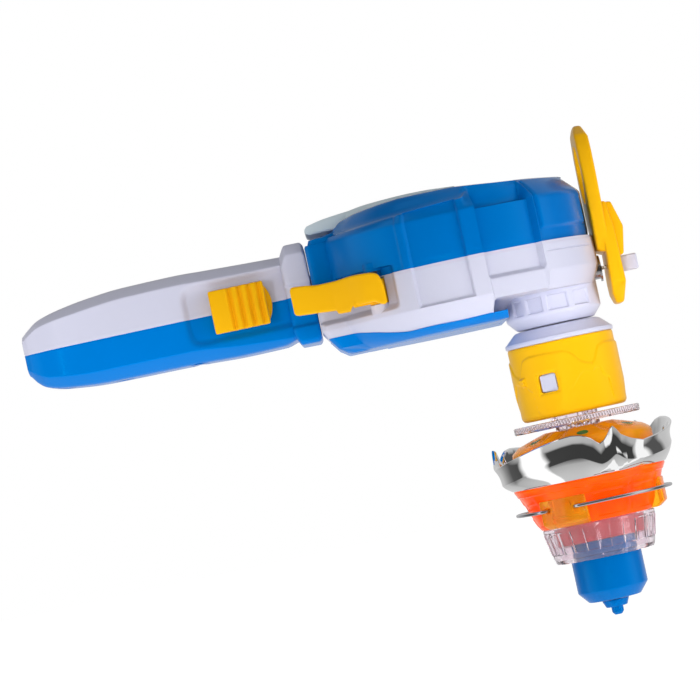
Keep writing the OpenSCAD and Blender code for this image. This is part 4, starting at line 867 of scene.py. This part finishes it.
for x in np.unique(np.concatenate([np.linspace(-73.2, -71.8, 9), np.linspace(-71.8, -48.5, 84),
                                   np.linspace(-48.5, -46.95, 12), [-61.4, -61.0, -57.5, -57.1]])):
    top, low = float(curve_value(LEVER_TOP, x)), float(np.interp(x, *zip(*LEVER_LOW)))
    outer = float(curve_value(LEVER_BOW, x))
    r, ring = LEVER_SOFT, []
    inner = outer + LEVER_THICK - r
    for cy, cz, a0 in ((inner, top - r, 0), (outer + r, top - r, 90),
                       (outer + r, low + r, 180), (inner, low + r, 270)):
        for t in np.radians(np.linspace(a0, a0 + 90, 5)):
            ring.append((x, cy + r * math.cos(t), cz + r * math.sin(t)))
    rings.append(ring)
lever = loft("trigger_lever_moulded", rings)
knuckle = pillar("knuckle", KNUCKLE_R, 41.7, 48.5, 48, PIN)
arm = box("arm", (-50.2, -29.8, 44.2), (-47.8, -21.8, 48.2))
bridge = box("bridge", (-50.6, -35.4, 42.0), (-47.4, -29.8, 48.4))
floor_web = box("floor_web", (-56.3, -33.9, 42.0), (-50.0, -31.2, 43.4))
combine(lever, [knuckle, arm, bridge, floor_web], "UNION")
combine(lever, [pillar("pin_hole", PIN_R + 0.01, 38, 54, 32, PIN)])
finished(lever, "trigger_lever", 38)

# %% [markdown]
# ## The handle's two shells
# A grip is drawn by three lines: its top, its bottom and its plan. Sections along its length
# follow these lines, with a wide bevel on every long edge, and a soft sunk field on both sides
# for thumb and fingers. Each half ends at the parting plane, where a tiny bevel leaves the seam
# line that two moulded shells always show. Then the socket, the slots and the screw holes are
# cut, and the square collar joins on.

# %% Lines and sections of the grip
GRIP_X, GRIP_LEN, END_GROWTH = -74.0, 78.0, 0.6
TOP_LINE = [(0, 12.4), (0.3, 13.25), (0.4, 13.55), (0.6, 13.35), (0.73, 12.5), (0.85, 11.0),
            (0.935, 9.2), (0.98, 7.0), (1, 5.8)]
LOW_LINE = [(0, 12.0), (0.05, 13.05), (0.2, 13.2), (0.38, 12.75), (0.71, 12.5), (0.88, 11.4),
            (0.95, 10.1), (0.98, 8.4), (1, 6.3)]
TOP_BAND = [(0, 2.5), (0.2, 3.0), (0.75, 3.1), (0.9, 2.4), (1, 1.5)]
LOW_CREASE = [(0, 11.3), (0.2, 10.4), (0.4, 9.0), (0.75, 8.9), (0.93, 7.6), (1, 4.6)]
PLAN = [(0, 14.5), (0.78, 14.5), (0.86, 14.1), (0.94, 12.3), (0.985, 10.2), (1, 8.9)]
SIDE_FIELD_DEPTH, SEAM_DEPTH, GRIP_HEAD_R, GRIP_THREAD_R = 1.4, 0.16, 2.75, 1.55
GRIP_SCREWS = ((0.375, -6.67, 10), (0.375, 6.67, 10), (0.66, 0, 10), (0.88, 0, 9.1))


def corner_points(before, corner, after, reach, steps=4):
    """A small arc in the place of a corner."""
    before, corner, after = (np.array(p, float) for p in (before, corner, after))
    start = corner + (before - corner) * min(reach / (np.linalg.norm(before - corner) + 1e-9), 0.5)
    end = corner + (after - corner) * min(reach / (np.linalg.norm(after - corner) + 1e-9), 0.5)
    return [tuple((1 - t) ** 2 * start + 2 * t * (1 - t) * corner + t * t * end)
            for t in np.linspace(0, 1, steps)]


def grip_section(share, sign):
    """Half of the grip at one place along it: the side, its bevel and its top or bottom."""
    x = GRIP_X - GRIP_LEN * share
    half_width = float(curve_value(PLAN, share))
    if sign > 0:
        height = float(curve_value(TOP_LINE, share))
        crease = height - float(curve_value(TOP_BAND, share))
        inset = 1.55 * (height - crease)
        field_end = (7.6, 10.3)
    else:
        height = float(curve_value(LOW_LINE, share))
        crease = min(float(curve_value(LOW_CREASE, share)), height - 1.2)
        inset = 1.35 * (height - crease)
        field_end = (6.4, 9.2)
    along = eased(-x, 103.0, 106.0)
    wall = []
    for level in np.linspace(0, crease, 26):
        sunk = (1 - along) * (1 - eased(level, *field_end))
        corner = math.hypot(max(0, -x - 99.5), max(0, level - (field_end[1] - 6.0)))
        sunk *= 1 - float(eased(corner, 3.6, 6.6))
        seam = SEAM_DEPTH * (1 - eased(level, 0.1, 0.3))
        wall.append((half_width - SIDE_FIELD_DEPTH * sunk - seam, level))
    edge = corner_points(wall[-2], (wall[-1][0], crease), (wall[-1][0] - inset, height), 0.7)
    shoulder = corner_points((wall[-1][0], crease), (wall[-1][0] - inset, height), (0, height), 1.2)
    half = wall[:-1] + edge + shoulder
    full = half + [(-y, level) for y, level in reversed(half)]
    return [(x, y, PARTING + sign * level) for y, level in full]


def grip_half(name, sign):
    shares = np.unique(np.concatenate([np.linspace(0, 0.9, 110), np.linspace(0.36, 0.42, 18),
                                       np.linspace(0.9, 0.99, 22), [0.992, 0.996, 0.999, 1.0]]))
    rings = [grip_section(float(s), sign) for s in shares]
    for reach, inset in ((0.35, 0.25), (0.6, 0.9)):
        rings.append([(x - reach, y * (1 - inset / 9), PARTING + (z - PARTING) * (1 - inset / 6))
                      for x, y, z in rings[len(shares) - 1]])
    rings = [[(x + END_GROWTH * min(1, (GRIP_X - x) / GRIP_LEN), y, z) for x, y, z in ring]
             for ring in rings]
    return loft(name, rings)


def collar_half(name, stations, side_line):
    """A square collar: its top or bottom height and its width follow from the place."""
    rings = []
    for x, height, half_width in stations:
        line = side_line(height, half_width)
        half = line[:1]
        for before, corner, after in zip(line, line[1:], line[2:]):
            half += corner_points(before, corner, after, 0.5)
        rings.append([(x, y, z) for y, z in half + [(-y, z) for y, z in reversed(half)]])
    return loft(name, rings)


def grip_cuts():
    """The socket of the tongue, the button's slots and the slot of the detent spring."""
    return [box("socket", (-99, -8.3, PARTING - 5.8), (-66.5, 8.3, PARTING + 5.8)),
            box("slot", (-91.4, -29, PARTING - 2.5), (-81.5, -8, PARTING + 3.1)),
            box("catch_room", (-92.9, -10.9, PARTING - 4.1), (-80.0, -8, PARTING + 4.7)),
            box("detent_slot", (-91, 7.9, PARTING - 2.85), (-82.4, 13.1, PARTING + 2.85))]


# %% Upper half of the grip
grip_top = grip_half("handle_upper_moulded", 1)
collar_top = collar_half("collar_top", (
    (-74.75, 60.7, 14.9), (-74.5, 61.0, 15.6), (-74.1, 61.9, 16.2), (-73.0, 63.8, 16.5),
    (-72.6, 64.3, 16.5), (-72.1, 64.5, 16.5), (-68.1, 64.5, 16.5), (-67.7, 64.35, 16.45),
    (-67.15, 63.6, 16.3), (-67.0, 63.1, 16.1)), lambda high, half: [
        (half - 1.3, PARTING), (half - 1.3, PARTING + 3.1), (half, PARTING + 3.9),
        (half, high - 3.0), (half - 3.0, high), (0, high)])
combine(grip_top, [collar_top], "UNION")
combine(grip_top, grip_cuts())
finished(grip_top, "handle_upper_shell", 38)

# %% Lower half of the grip
grip_low = grip_half("handle_lower_moulded", -1)
holes = [turned("screw_hole", [(CORE, 20), (GRIP_HEAD_R, 20), (GRIP_HEAD_R, PARTING - deep),
                               (GRIP_THREAD_R, PARTING - deep), (GRIP_THREAD_R, PARTING + 1),
                               (CORE, PARTING + 1)],
                40, (GRIP_X - share * GRIP_LEN, y)) for share, y, deep in GRIP_SCREWS]
collar_low = collar_half("collar_low", (
    (-74.75, 38.4, 14.9), (-74.5, 38.0, 15.6), (-74.1, 37.2, 16.2), (-73.3, 35.8, 16.5),
    (-72.9, 35.4, 16.5), (-68.0, 35.3, 16.5), (-67.6, 35.5, 16.45), (-67.15, 36.1, 16.3),
    (-67.0, 36.5, 16.1)), lambda low, half: [
        (half - 1.3, PARTING), (half - 1.3, 41.2), (half, 40.4), (half, low + 1.2),
        (half - 1.2, low), (0, low)])
combine(grip_low, [collar_low], "UNION")
combine(grip_low, grip_cuts() + holes)
finished(grip_low, "handle_lower_shell", 38)

# %% Grip screws
LIFT, LAST_LIFT, LAST_SHARE = 1.1 * MM, 2.3 * MM, 0.8
grip_screws = joined_copy("handle_screws", "handle_screws_set")
for vertex in grip_screws.data.vertices:
    share = (GRIP_X * MM - vertex.co.x) / (GRIP_LEN * MM)
    vertex.co.z += LAST_LIFT if share > LAST_SHARE else LIFT
finished(grip_screws, "handle_screws")

# %% [markdown]
# ## The slide button
# The thumb plate is a row of rounded ribs beside a plain strip. A section pulled along its
# length gives the ribs, and the round base behind it is a short turned disc with flat sides.

# %% Slide button
BUTTON_X, BUTTON_Z, STEM_HALF = -88.43, 49.6, 2.5
RIBS_FROM, RIB_PITCH, RIB_DEPTH = -3.4, 2.85, 1.25
BASE_R, BASE_HALF_H, BASE_SHIFT = 8.8, 5.9, 0.7
rings = []
for x in np.linspace(-8.0, 8.0, 129):
    rib_wave = 0.5 - 0.5 * math.cos(2 * math.pi * (x - RIBS_FROM) / RIB_PITCH)
    furrow = RIB_DEPTH * rib_wave ** 2 * float(between(x, -3.6, 8.4, 0.4))
    close = 0.5 * (1 - math.sqrt(max(0.0, 1 - max(0.0, (abs(x) - 7.5) / 0.5) ** 2)))
    face, back, half = -18.73 + furrow + close, -15.53, 6.25 - close
    section = [(back, -half + 0.2), (face + 0.6, -half), (face + 0.18, -half + 0.18),
               (face, -half + 0.6), (face, half - 0.6), (face + 0.18, half - 0.18),
               (face + 0.6, half), (back, half - 0.2)]
    rings.append([(BUTTON_X + x, y, BUTTON_Z + z) for y, z in section])
thumb_plate = loft("slide_button_moulded", rings)
base_points = []
for a in np.linspace(0, 360, 97)[:-1]:
    x, z = BASE_R * math.cos(math.radians(a)), BASE_R * math.sin(math.radians(a))
    base_points.append((BUTTON_X + BASE_SHIFT + x,
                        BUTTON_Z + max(-BASE_HALF_H, min(BASE_HALF_H, z))))
base_disc = prism("button_base", base_points, -15.6, -13.45)
stem = box("button_stem", (BUTTON_X - STEM_HALF, -13.6, BUTTON_Z - STEM_HALF),
           (BUTTON_X + STEM_HALF, -8.6, BUTTON_Z + STEM_HALF))
rounded_edges(base_disc, 0.3, 2)
combine(thumb_plate, [base_disc, stem], "UNION")
finished(thumb_plate, "slide_button", 40)

# %% [markdown]
# ## The chuck
# The cup is turned, but its wall carries a raised shield four times round, and a small knob at
# two places. The wall's radius is a function of the angle and the height, so the shield's outline
# is a soft step that follows two lines. Two windows are cut opposite each other as rounded
# squares, and the white tabs of the core look out of them.

# %% Chuck cup
def wrapped(name, section, steps):
    """Turns a section that may change with the angle, given in degrees."""
    rings = []
    for i in range(steps):
        a = 360 * i / steps
        c, s = math.cos(math.radians(a)), math.sin(math.radians(a))
        rings.append([(r * c, r * s, z) for r, z in section(a)])
    return loft(name, rings, ends=False)


CUP_R, CUP_H = 15.5, 21.5
WINDOW_Z, WINDOW_HALF_W, WINDOW_HALF_H, WINDOW_SOFT = 10.0, 2.75, 2.65, 0.9
SHIELD_TOP = [(0, 12.9), (3, 13.6), (13, 17.7), (24, 18.4), (60, 18.1), (68, 17.2), (79.4, 14.1),
              (87, 13.3), (89.4, 13.2), (90, 12.9)]
SHIELD_LOW = [(0, 10.8), (4, 11.6), (9, 11.4), (12, 9.6), (16, 8.6), (18, 8.4), (20.5, 2.5),
              (40, 0.5), (56, 4.5), (64.7, 7.5), (80.5, 11.2), (90, 10.8)]
CUP_LEVELS = np.concatenate([[0.0, 0.25, 0.9, 1.5], np.linspace(2.0, 20.6, 84),
                             [21.0, 21.35, CUP_H]])


def cup_section(a):
    phase = (a + 154) % 90
    high, low = float(curve_value(SHIELD_TOP, phase)), float(curve_value(SHIELD_LOW, phase))
    window = ((a + 115 + 90) % 180) - 90
    bump = ((a + 146.5 + 90) % 180) - 90
    fade = 0.9 + 5.0 * float((1 - eased(phase, 54, 66)) * eased(phase, 18, 30))
    raised = eased(CUP_LEVELS, low - fade / 2, low + fade / 2)
    raised = raised * (1 - eased(CUP_LEVELS, high - 0.45, high + 0.35))
    off = np.maximum(CUP_R * math.radians(abs(window)) - WINDOW_HALF_W,
                     np.abs(CUP_LEVELS - WINDOW_Z) - WINDOW_HALF_H)
    frame_soft = 0.4 * (1 - eased(off, 0.15, 0.75))
    knob = 0.85 * (1 - eased(abs(bump), 3.2, 5.2)) * between(CUP_LEVELS, 9.9, 13.0, 0.7)
    outer = CUP_R + 0.42 * raised - frame_soft + knob
    lip = np.clip(1.5 - CUP_LEVELS, 0, 1.5)
    outer = outer - 1.45 * (1 - np.sqrt(np.maximum(0, 1 - (lip / 1.5) ** 2)))
    outer = outer - 0.25 * eased(CUP_LEVELS, CUP_H - 0.3, CUP_H)
    inner = [(13.75, 19.7), (13.75, 0.9), (14.0, 0.0)]
    return list(zip(outer, CUP_LEVELS)) + [(11.2, CUP_H), (11.2, 19.7)] + inner


cup = wrapped("chuck_cup_moulded", cup_section, 480)
windows = []
for i in range(2):
    corners = []
    for sx, sz in ((-1, -1), (1, -1), (1, 1), (-1, 1)):
        x, z = sx * WINDOW_HALF_W, WINDOW_Z + sz * WINDOW_HALF_H
        for t in np.linspace(0, math.pi / 2, 6):
            u, w = (math.cos(t), math.sin(t)) if sx * sz > 0 else (math.sin(t), math.cos(t))
            corners.append((x - sx * WINDOW_SOFT * (1 - u), z - sz * WINDOW_SOFT * (1 - w)))
    window = prism("window", corners, -18.5, -11.0)
    window.data.transform(Matrix.Rotation(math.radians(-25 + 180 * i), 4, "Z"))
    windows.append(window)
combine(cup, windows)
finished(cup, "chuck_cup", 42)

# %% Chuck collar
collar_profile = [(11.0, 21.6), (15.55, 21.6), (15.8, 21.75), (15.85, 22.0), (15.85, 22.65),
                  (15.72, 22.95), (15.3, 23.15), (14.9, 23.6), (12.9, 25.45), (12.5, 25.75),
                  (12.0, 25.98), (11.2, 26.1), (7.5, 26.1), (7.5, 21.6)]
chuck_collar = turned("chuck_collar_moulded", collar_profile, 192)
finished(chuck_collar, "chuck_collar", 24)

# %% [markdown]
# ## The metal ring
# The ring is die cast and chromed. Its edge rises and falls in three long blades, each with a
# sharp horn. A section goes round the axis: it leans out to a crease, then up to the blade's
# edge, over a narrow rim and down the inner wall. The height, the crease and small hollows
# under the horn follow from the angle, so the reflections flow along the blades.

# %% Metal ring
WAVE = [(0, 0.0), (0.12, 0.14), (0.3, 0.45), (0.45, 0.74), (0.55, 0.89), (0.61, 0.93),
        (0.66, 0.86), (0.71, 0.62), (0.751, 0.27), (0.775, 0.38), (0.8, 0.62), (0.825, 0.93),
        (0.836, 1.0), (0.85, 0.86), (0.875, 0.5), (0.93, 0.2), (1, 0.0)]
CREASE = [(0, 0.30), (0.2, 0.36), (0.45, 0.5), (0.62, 0.55), (0.751, 0.34), (0.836, 0.42),
          (0.92, 0.3), (1, 0.30)]
BULGE = [(0, 0.0), (0.15, 0.25), (0.35, 0.5), (0.55, 0.55), (0.68, 0.2), (0.751, -1.0),
         (0.8, -0.1), (0.836, 0.55), (0.865, -0.25), (0.9, -0.95), (0.95, -0.35), (1, 0.0)]


RING_FOOT, EDGE_LOW, EDGE_RISE, FIRST_BLADE = -18.7, -11.3, 5.65, 37.4
FOOT_R, CREASE_R, EDGE_R = 22.7, 25.3, 26.75


def ring_section(a):
    u = ((90 + a - FIRST_BLADE) % 120) / 120
    wave = float(np.interp(u, *zip(*WAVE))) * 0.6 + float(curve_value(WAVE, u)) * 0.4
    top = EDGE_LOW + EDGE_RISE * wave
    share = float(curve_value(CREASE, u))
    bulge = float(np.interp(u, *zip(*BULGE)))
    crease_z = RING_FOOT + (top - RING_FOOT) * share
    crease_r = CREASE_R + 0.45 * bulge - 0.35 * (share - 0.4)
    top_r = EDGE_R - 0.35 * wave + 0.25 * bulge
    low_wall, high_wall = [], []
    for t in np.linspace(0, 1, 8)[:-1]:
        hollow = 0.35 * math.sin(math.pi * t)
        low_wall.append((FOOT_R + (crease_r - FOOT_R) * t + hollow,
                         -18.55 + (crease_z + 18.55) * t))
    for t in np.linspace(0, 1, 10):
        hollow = (0.4 + 0.2 * bulge) * math.sin(math.pi * t)
        high_wall.append((crease_r + (top_r - crease_r) * t - hollow,
                          crease_z + (top - 0.25 - crease_z) * t))
    rim = [(top_r - 0.12, top - 0.05), (top_r - 0.35, top), (top_r - 0.95, top - 0.25),
           (top_r - 1.25, top - 0.6)]
    inner_top = max(-14.0, top - 3.2)
    inner = [(24.3 + 0.3 * wave, inner_top), (22.4, -15.6), (20.75, -16.6),
             (20.75, RING_FOOT), (22.4, RING_FOOT)]
    return low_wall + high_wall + rim + inner


chrome_ring = wrapped("metal_ring_cast", ring_section, 900)
finished(chrome_ring, "metal_ring", 26)

# %% [markdown]
# ## The grey top plate
# The plate lies in the crown and reaches back over the rear block. Its top rises a little
# towards the middle of the body, and its edge is bevelled.

# %% Top plate
plate = with_block(31.9, REAR_REACH - 1.0, 15.0)
plate_x = BODY_X + plate * np.cos(turn)
plate_z = curve_value([(-66, 68.4), (-62, 69.3), (-55, 70.1), (-48, 70.55), (-38, 70.6),
                       (-30, 70.4), (-20, 69.8), (20, 69.6)], plate_x)
rings = [ring_at(6.0, 65.9), ring_at(plate - 1.2, 65.9), ring_at(plate - 0.2, 66.4),
         ring_at(plate, plate_z - 1.5), ring_at(plate - 0.15, plate_z - 0.9),
         ring_at(plate - 0.8, plate_z - 0.15), ring_at(plate - 1.3, plate_z)]
rings += [ring_at(plate * share, plate_z * share + 70.3 * (1 - share)) for share in (0.7, 0.3)]
top_plate = loft("top_plate_moulded", rings)
combine(top_plate, [box("front", (-21.5, -45, 60), (30, 45, 80))])
finished(top_plate, "top_plate", 30)

# %% [markdown]
# ## The pull handle
# Two flat plates lie against each other: a wide one with the finger hole, and a lower one that
# carries a wedge-shaped boss with the string's anchor. Each is drawn from the side, pulled to
# its width, trimmed by its outline from the front and rounded before the plates are joined.

# %% Pull handle
def trimmed_plate(name, side_points, front_points, soft):
    plate = prism(name, side_points, -20, 20, "y")
    combine(plate, [prism("trim", front_points, 10, 30, "x")], "INTERSECT")
    rounded_edges(plate, soft, 3, 24)
    return plate


def cross_hole(name, radius, height, steps=72):
    """A cylinder along x, as a tool for a hole through the plates."""
    rings = []
    for i in range(steps):
        a = 2 * math.pi * i / steps
        rings.append([(x, r * math.cos(a), height + r * math.sin(a))
                      for r, x in ((CORE, 10), (radius, 10), (radius, 30), (CORE, 30))])
    return loft(name, rings, ends=False)


wide_front = [(-9.6, 43.4), (9.6, 43.4), (11.6, 50.0), (13.2, 58.0), (13.5, 66.0), (12.6, 73.0),
              (9.6, 78.2), (5.2, 81.0), (0, 81.5), (-5.2, 81.0), (-9.6, 78.2), (-12.6, 73.0),
              (-13.5, 66.0), (-13.2, 58.0), (-11.6, 50.0)]
low_front = [(-5.4, 28.4), (5.4, 28.4), (10.8, 34.4), (10.8, 50.0), (9.6, 58.0), (-9.6, 58.0),
             (-10.8, 50.0), (-10.8, 34.4)]
pull = trimmed_plate("pull_handle_moulded", [
    (17.7, 43.6), (15.7, 44.4), (15.6, 52.0), (15.9, 78.9), (16.6, 81.3), (18.6, 81.5),
    (19.9, 77.2), (19.5, 58.0), (19.3, 43.6)], wide_front, 0.7)
low_plate = trimmed_plate("low_plate", [
    (18.1, 28.4), (17.4, 31.3), (17.6, 36.0), (17.9, 42.0), (18.2, 58.0), (20.8, 58.0),
    (21.6, 50.0), (21.8, 34.1), (20.4, 28.4)], low_front, 0.7)
boss = trimmed_plate("boss", [
    (20.0, 41.9), (23.0, 41.9), (24.5, 49.9), (22.4, 57.6), (20.0, 57.8)],
    [(-8.0, 41.0), (8.0, 41.0), (8.0, 59.0), (-8.0, 59.0)], 0.6)
combine(pull, [low_plate, boss], "UNION")
FINGER_R, FINGER_Z, CORD_R, CORD_Z, ANCHOR_HALF = 8.6, 67.1, 0.7, 39.5, 2.55
anchor_room = box("anchor_room", (20.2, -ANCHOR_HALF, CORD_Z - ANCHOR_HALF),
                  (30, ANCHOR_HALF, CORD_Z + ANCHOR_HALF))
combine(pull, [cross_hole("finger_hole", FINGER_R, FINGER_Z),
               cross_hole("cord_hole", CORD_R, CORD_Z), anchor_room])
finished(pull, "pull_handle", 40)

# %% [markdown]
# ## The clear disc
# The disc that the launcher's chuck grips is pressed from clear plastic. Its rim is a thick lip,
# thin ribs run from the hub to the lip below, and the hub is fluted. Ribs and flutes repeat, so a
# geometry node group stands them round the axis.

# %% Clear disc
DISC_RIBS, HUB_FLUTES, CROWN_FLUTES = 18, 12, 9
disc = joined_copy("launch_disc", "launch_disc_cast")
lip = turned("lip", [(16.9, -2.3), (17.3, -2.9), (17.7, -3.0), (18.2, -3.0), (18.5, -2.7),
                     (18.5, -1.2), (18.2, -0.9), (17.7, -0.9), (17.3, -1.0), (16.9, -1.25)], 128)
ribs = around("ribs", box("rib", (5.6, -0.28, -2.75), (17.2, 0.28, -2.2)), DISC_RIBS,
              "clear_plastic")
flute = prism("flute", [(5.3, -0.75), (6.25, -0.55), (6.6, 0.0), (6.25, 0.55), (5.3, 0.75)],
              -3.9, -2.2, "z")
flutes = around("flutes", flute, HUB_FLUTES, "clear_plastic", 15)
crown = prism("crown_flute", [(5.3, -0.75), (6.2, -0.55), (6.5, 0.0), (6.2, 0.55), (5.3, 0.75)],
              -1.3, 1.4, "z")
crowns = around("crowns", crown, CROWN_FLUTES, "clear_plastic", spread=0.06, seed=4)
combine(disc, [lip, ribs, flutes, crowns], "UNION")
finished(disc, "launch_disc", 34)

# %% [markdown]
# ## The top's cap
# Six cushions stand on the amber cap with valleys between them, and a green gem sits in the
# middle of each cushion.

# %% Cap
CUSHIONS, CUSHION_LIFT, GEM_R, GEM_AT = 6, 0.75, 1.74, (15.5, 0)


def cap_section(a):
    phase = a % (360 / CUSHIONS)
    lift = CUSHION_LIFT * float(eased(phase, 3, 12) * (1 - eased(phase, 48, 57)))
    dip = 0.3 * math.sin(math.radians(3 * a)) ** 2
    return [(6.15, -4.3), (8.4, -4.25), (9.2, -4.4 + 0.2 * lift), (10.2, -4.75 + lift),
            (13.0, -5.6 + lift), (16.2, -6.5 + lift - dip), (18.3, -7.1 + 0.9 * lift - dip),
            (19.3, -7.45 + 0.4 * lift), (20.1, -7.9), (20.5, -8.4), (20.6, -9.0), (20.6, -17.0),
            (19.0, -17.0), (19.0, -9.6), (9.0, -7.4), (6.15, -7.4)]


cap = wrapped("top_cap_cast", cap_section, 360)
seats = around("gem_seats", pillar("gem_seat", GEM_R, -9.5, -3.5, 28, GEM_AT), CUSHIONS,
               "amber_clear", 30)
combine(cap, [seats])
finished(cap, "top_cap", 30, "amber_clear")

# %% [markdown]
# ## The orange bowl
# The bowl's wall bends in below its rim. Shallow steps run round it, and three low fields between
# the lugs make it less round than a turned part.

# %% Bowl
LUG_ANGLE, LUGS, LUG_HALF = -121.5, 3, 21.5


def bowl_section(a):
    phase = (a - LUG_ANGLE + 180 / LUGS) % (360 / LUGS) - 180 / LUGS
    field = float(eased(abs(phase), 24, 30) * (1 - eased(abs(phase), 54, 59)))
    sink = 0.35 * field
    return [(12.1, -17.1), (20.5, -17.1), (20.5, -18.55), (22.2, -18.75), (22.25, -19.2),
            (21.7, -20.2), (21.55, -20.6 - 0.2 * field), (21.1, -21.0), (20.6 - sink, -22.3),
            (20.4 - sink, -22.9), (19.85 - sink, -23.6), (19.2, -25.6), (18.55, -27.2),
            (18.5 - sink, -27.9), (17.6 - sink, -29.9), (17.3, -30.3), (16.9, -31.0),
            (16.7, -31.3), (13.3, -31.3), (13.3, -29.8), (15.4, -29.8), (18.05, -25.0),
            (19.2, -20.1), (12.1, -20.1)]


bowl = wrapped("orange_bowl_cast", bowl_section, 240)
lug_rooms = []
for i in range(LUGS):
    arc = [math.radians(LUG_ANGLE + 360 / LUGS * i + t)
           for t in np.linspace(-LUG_HALF, LUG_HALF, 24)]
    corners = ([(26 * math.cos(t), 26 * math.sin(t)) for t in arc]
               + [(14.5 * math.cos(t), 14.5 * math.sin(t)) for t in reversed(arc)])
    lug_rooms.append(prism("lug_room", corners, -33.0, -22.8, "z"))
combine(bowl, lug_rooms)
finished(bowl, "orange_bowl", 26)

# %% [markdown]
# ## The wire and the ribbed ring
# The wire is a round bar swept along an open arc whose ends turn in. The ribbed ring has a lip
# above, a solid band below and 24 ribs between them, stood round it by the node group.

# %% Wire ring
def swept(name, path, radius, sides=12):
    """A round bar along a path that stays at one height."""
    path = np.array(path, float)
    ways = np.gradient(path, axis=0)
    ways /= np.linalg.norm(ways, axis=1)[:, None]
    rings = []
    for (x, y, z), (wx, wy, _) in zip(path, ways):
        rings.append([(x - wy * radius * math.cos(t), y + wx * radius * math.cos(t),
                       z + radius * math.sin(t))
                      for t in np.linspace(0, 2 * math.pi, sides, endpoint=False)])
    return loft(name, rings)


WIRE_R, WIRE_Z, WIRE_BAR_R = 22.6, -25.8, 0.52
WIRE_END = ((18.7, 12.5), (19.8, 12.5), (20.9, 12.6), (21.6, 12.9), (22.1, 13.6), (22.4, 14.6))


def on_circle(r, degrees):
    turn_by = math.radians(LUG_ANGLE + degrees)
    return (r * math.cos(turn_by), r * math.sin(turn_by), WIRE_Z)


path = [on_circle(WIRE_R, t) for t in np.linspace(16.5, 343.5, 220)]
ends_in = [on_circle(r, a) for r, a in WIRE_END]
ends_out = [on_circle(r, -a) for r, a in reversed(WIRE_END)]
wire = swept("wire_ring_bent", ends_in + path + ends_out, WIRE_BAR_R)
finished(wire, "wire_ring", 60)

# %% Ribbed ring
ribbed = turned("ribbed_ring_cast", [
    (13.3, -31.4), (16.1, -31.4), (16.45, -31.7), (16.45, -32.7), (16.0, -33.1), (14.75, -39.0),
    (15.1, -39.3), (15.0, -39.9), (14.55, -41.5), (14.2, -42.0), (9.5, -42.0), (9.5, -40.5),
    (12.8, -40.5), (13.3, -36.7)], 144)
RING_RIBS, RIB_HALF_W = 24, 0.42
rib = prism("rib", [(15.2, -32.5), (16.4, -32.5), (16.5, -33.2), (15.35, -38.9), (15.0, -39.6),
                    (14.2, -39.6)], -RIB_HALF_W, RIB_HALF_W)
rounded_edges(rib, 0.12, 2)
ribs = around("ribs", rib, RING_RIBS, "clear_plastic", 180 / RING_RIBS)
combine(ribbed, [ribs], "UNION")
finished(ribbed, "ribbed_ring", 30)

# %% [markdown]
# ## The string
# Only a short length of the string shows at rest, but it runs out with the pull handle. The laid
# string is a round bar with two shallow spiral furrows, laid along the CAD string's place and
# left fixed there.

# %% String
STRING_R, FURROW, TWIST = 0.55, 0.045, 2.2
string_low, string_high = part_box("pull_string")
string_z = (string_low.z + string_high.z) / 2 / MM
string_y = (string_low.y + string_high.y) / 2 / MM
rings = []
for x in np.linspace(string_low.x / MM, string_high.x / MM, 60):
    ring = []
    for t in np.linspace(0, 2 * math.pi, 20, endpoint=False):
        r = STRING_R + FURROW * math.cos(2 * t - TWIST * x)
        ring.append((x, string_y + r * math.cos(t), string_z + r * math.sin(t)))
    rings.append(ring)
laid_string = loft("pull_string_laid", rings)
smooth(laid_string.data, 60)
paint(laid_string, SLOT_OF["pull_string"])
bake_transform(laid_string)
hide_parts("pull_string")

# %% [markdown]
# ## The plain parts
# The tongue, the string's anchor, the tip and its case, and the ring of lugs have simple forms
# that the CAD model gives already. Rounded edges are all that they lack, so one loop does them.

# %% Parts that only need rounded edges
# The tip case and the tip take the darker blue that paints their shade.
for node, width, look in (("handle_tongue", 0.4, None), ("string_anchor", 0.5, None),
                          ("tip_case", 0.3, "blue_deep"), ("spinning_tip", 0.2, "blue_deep"),
                          ("lug_ring", 0.3, None)):
    piece = joined_copy(node, node + "_moulded")
    rounded_edges(piece, width)
    finished(piece, node, look=look)
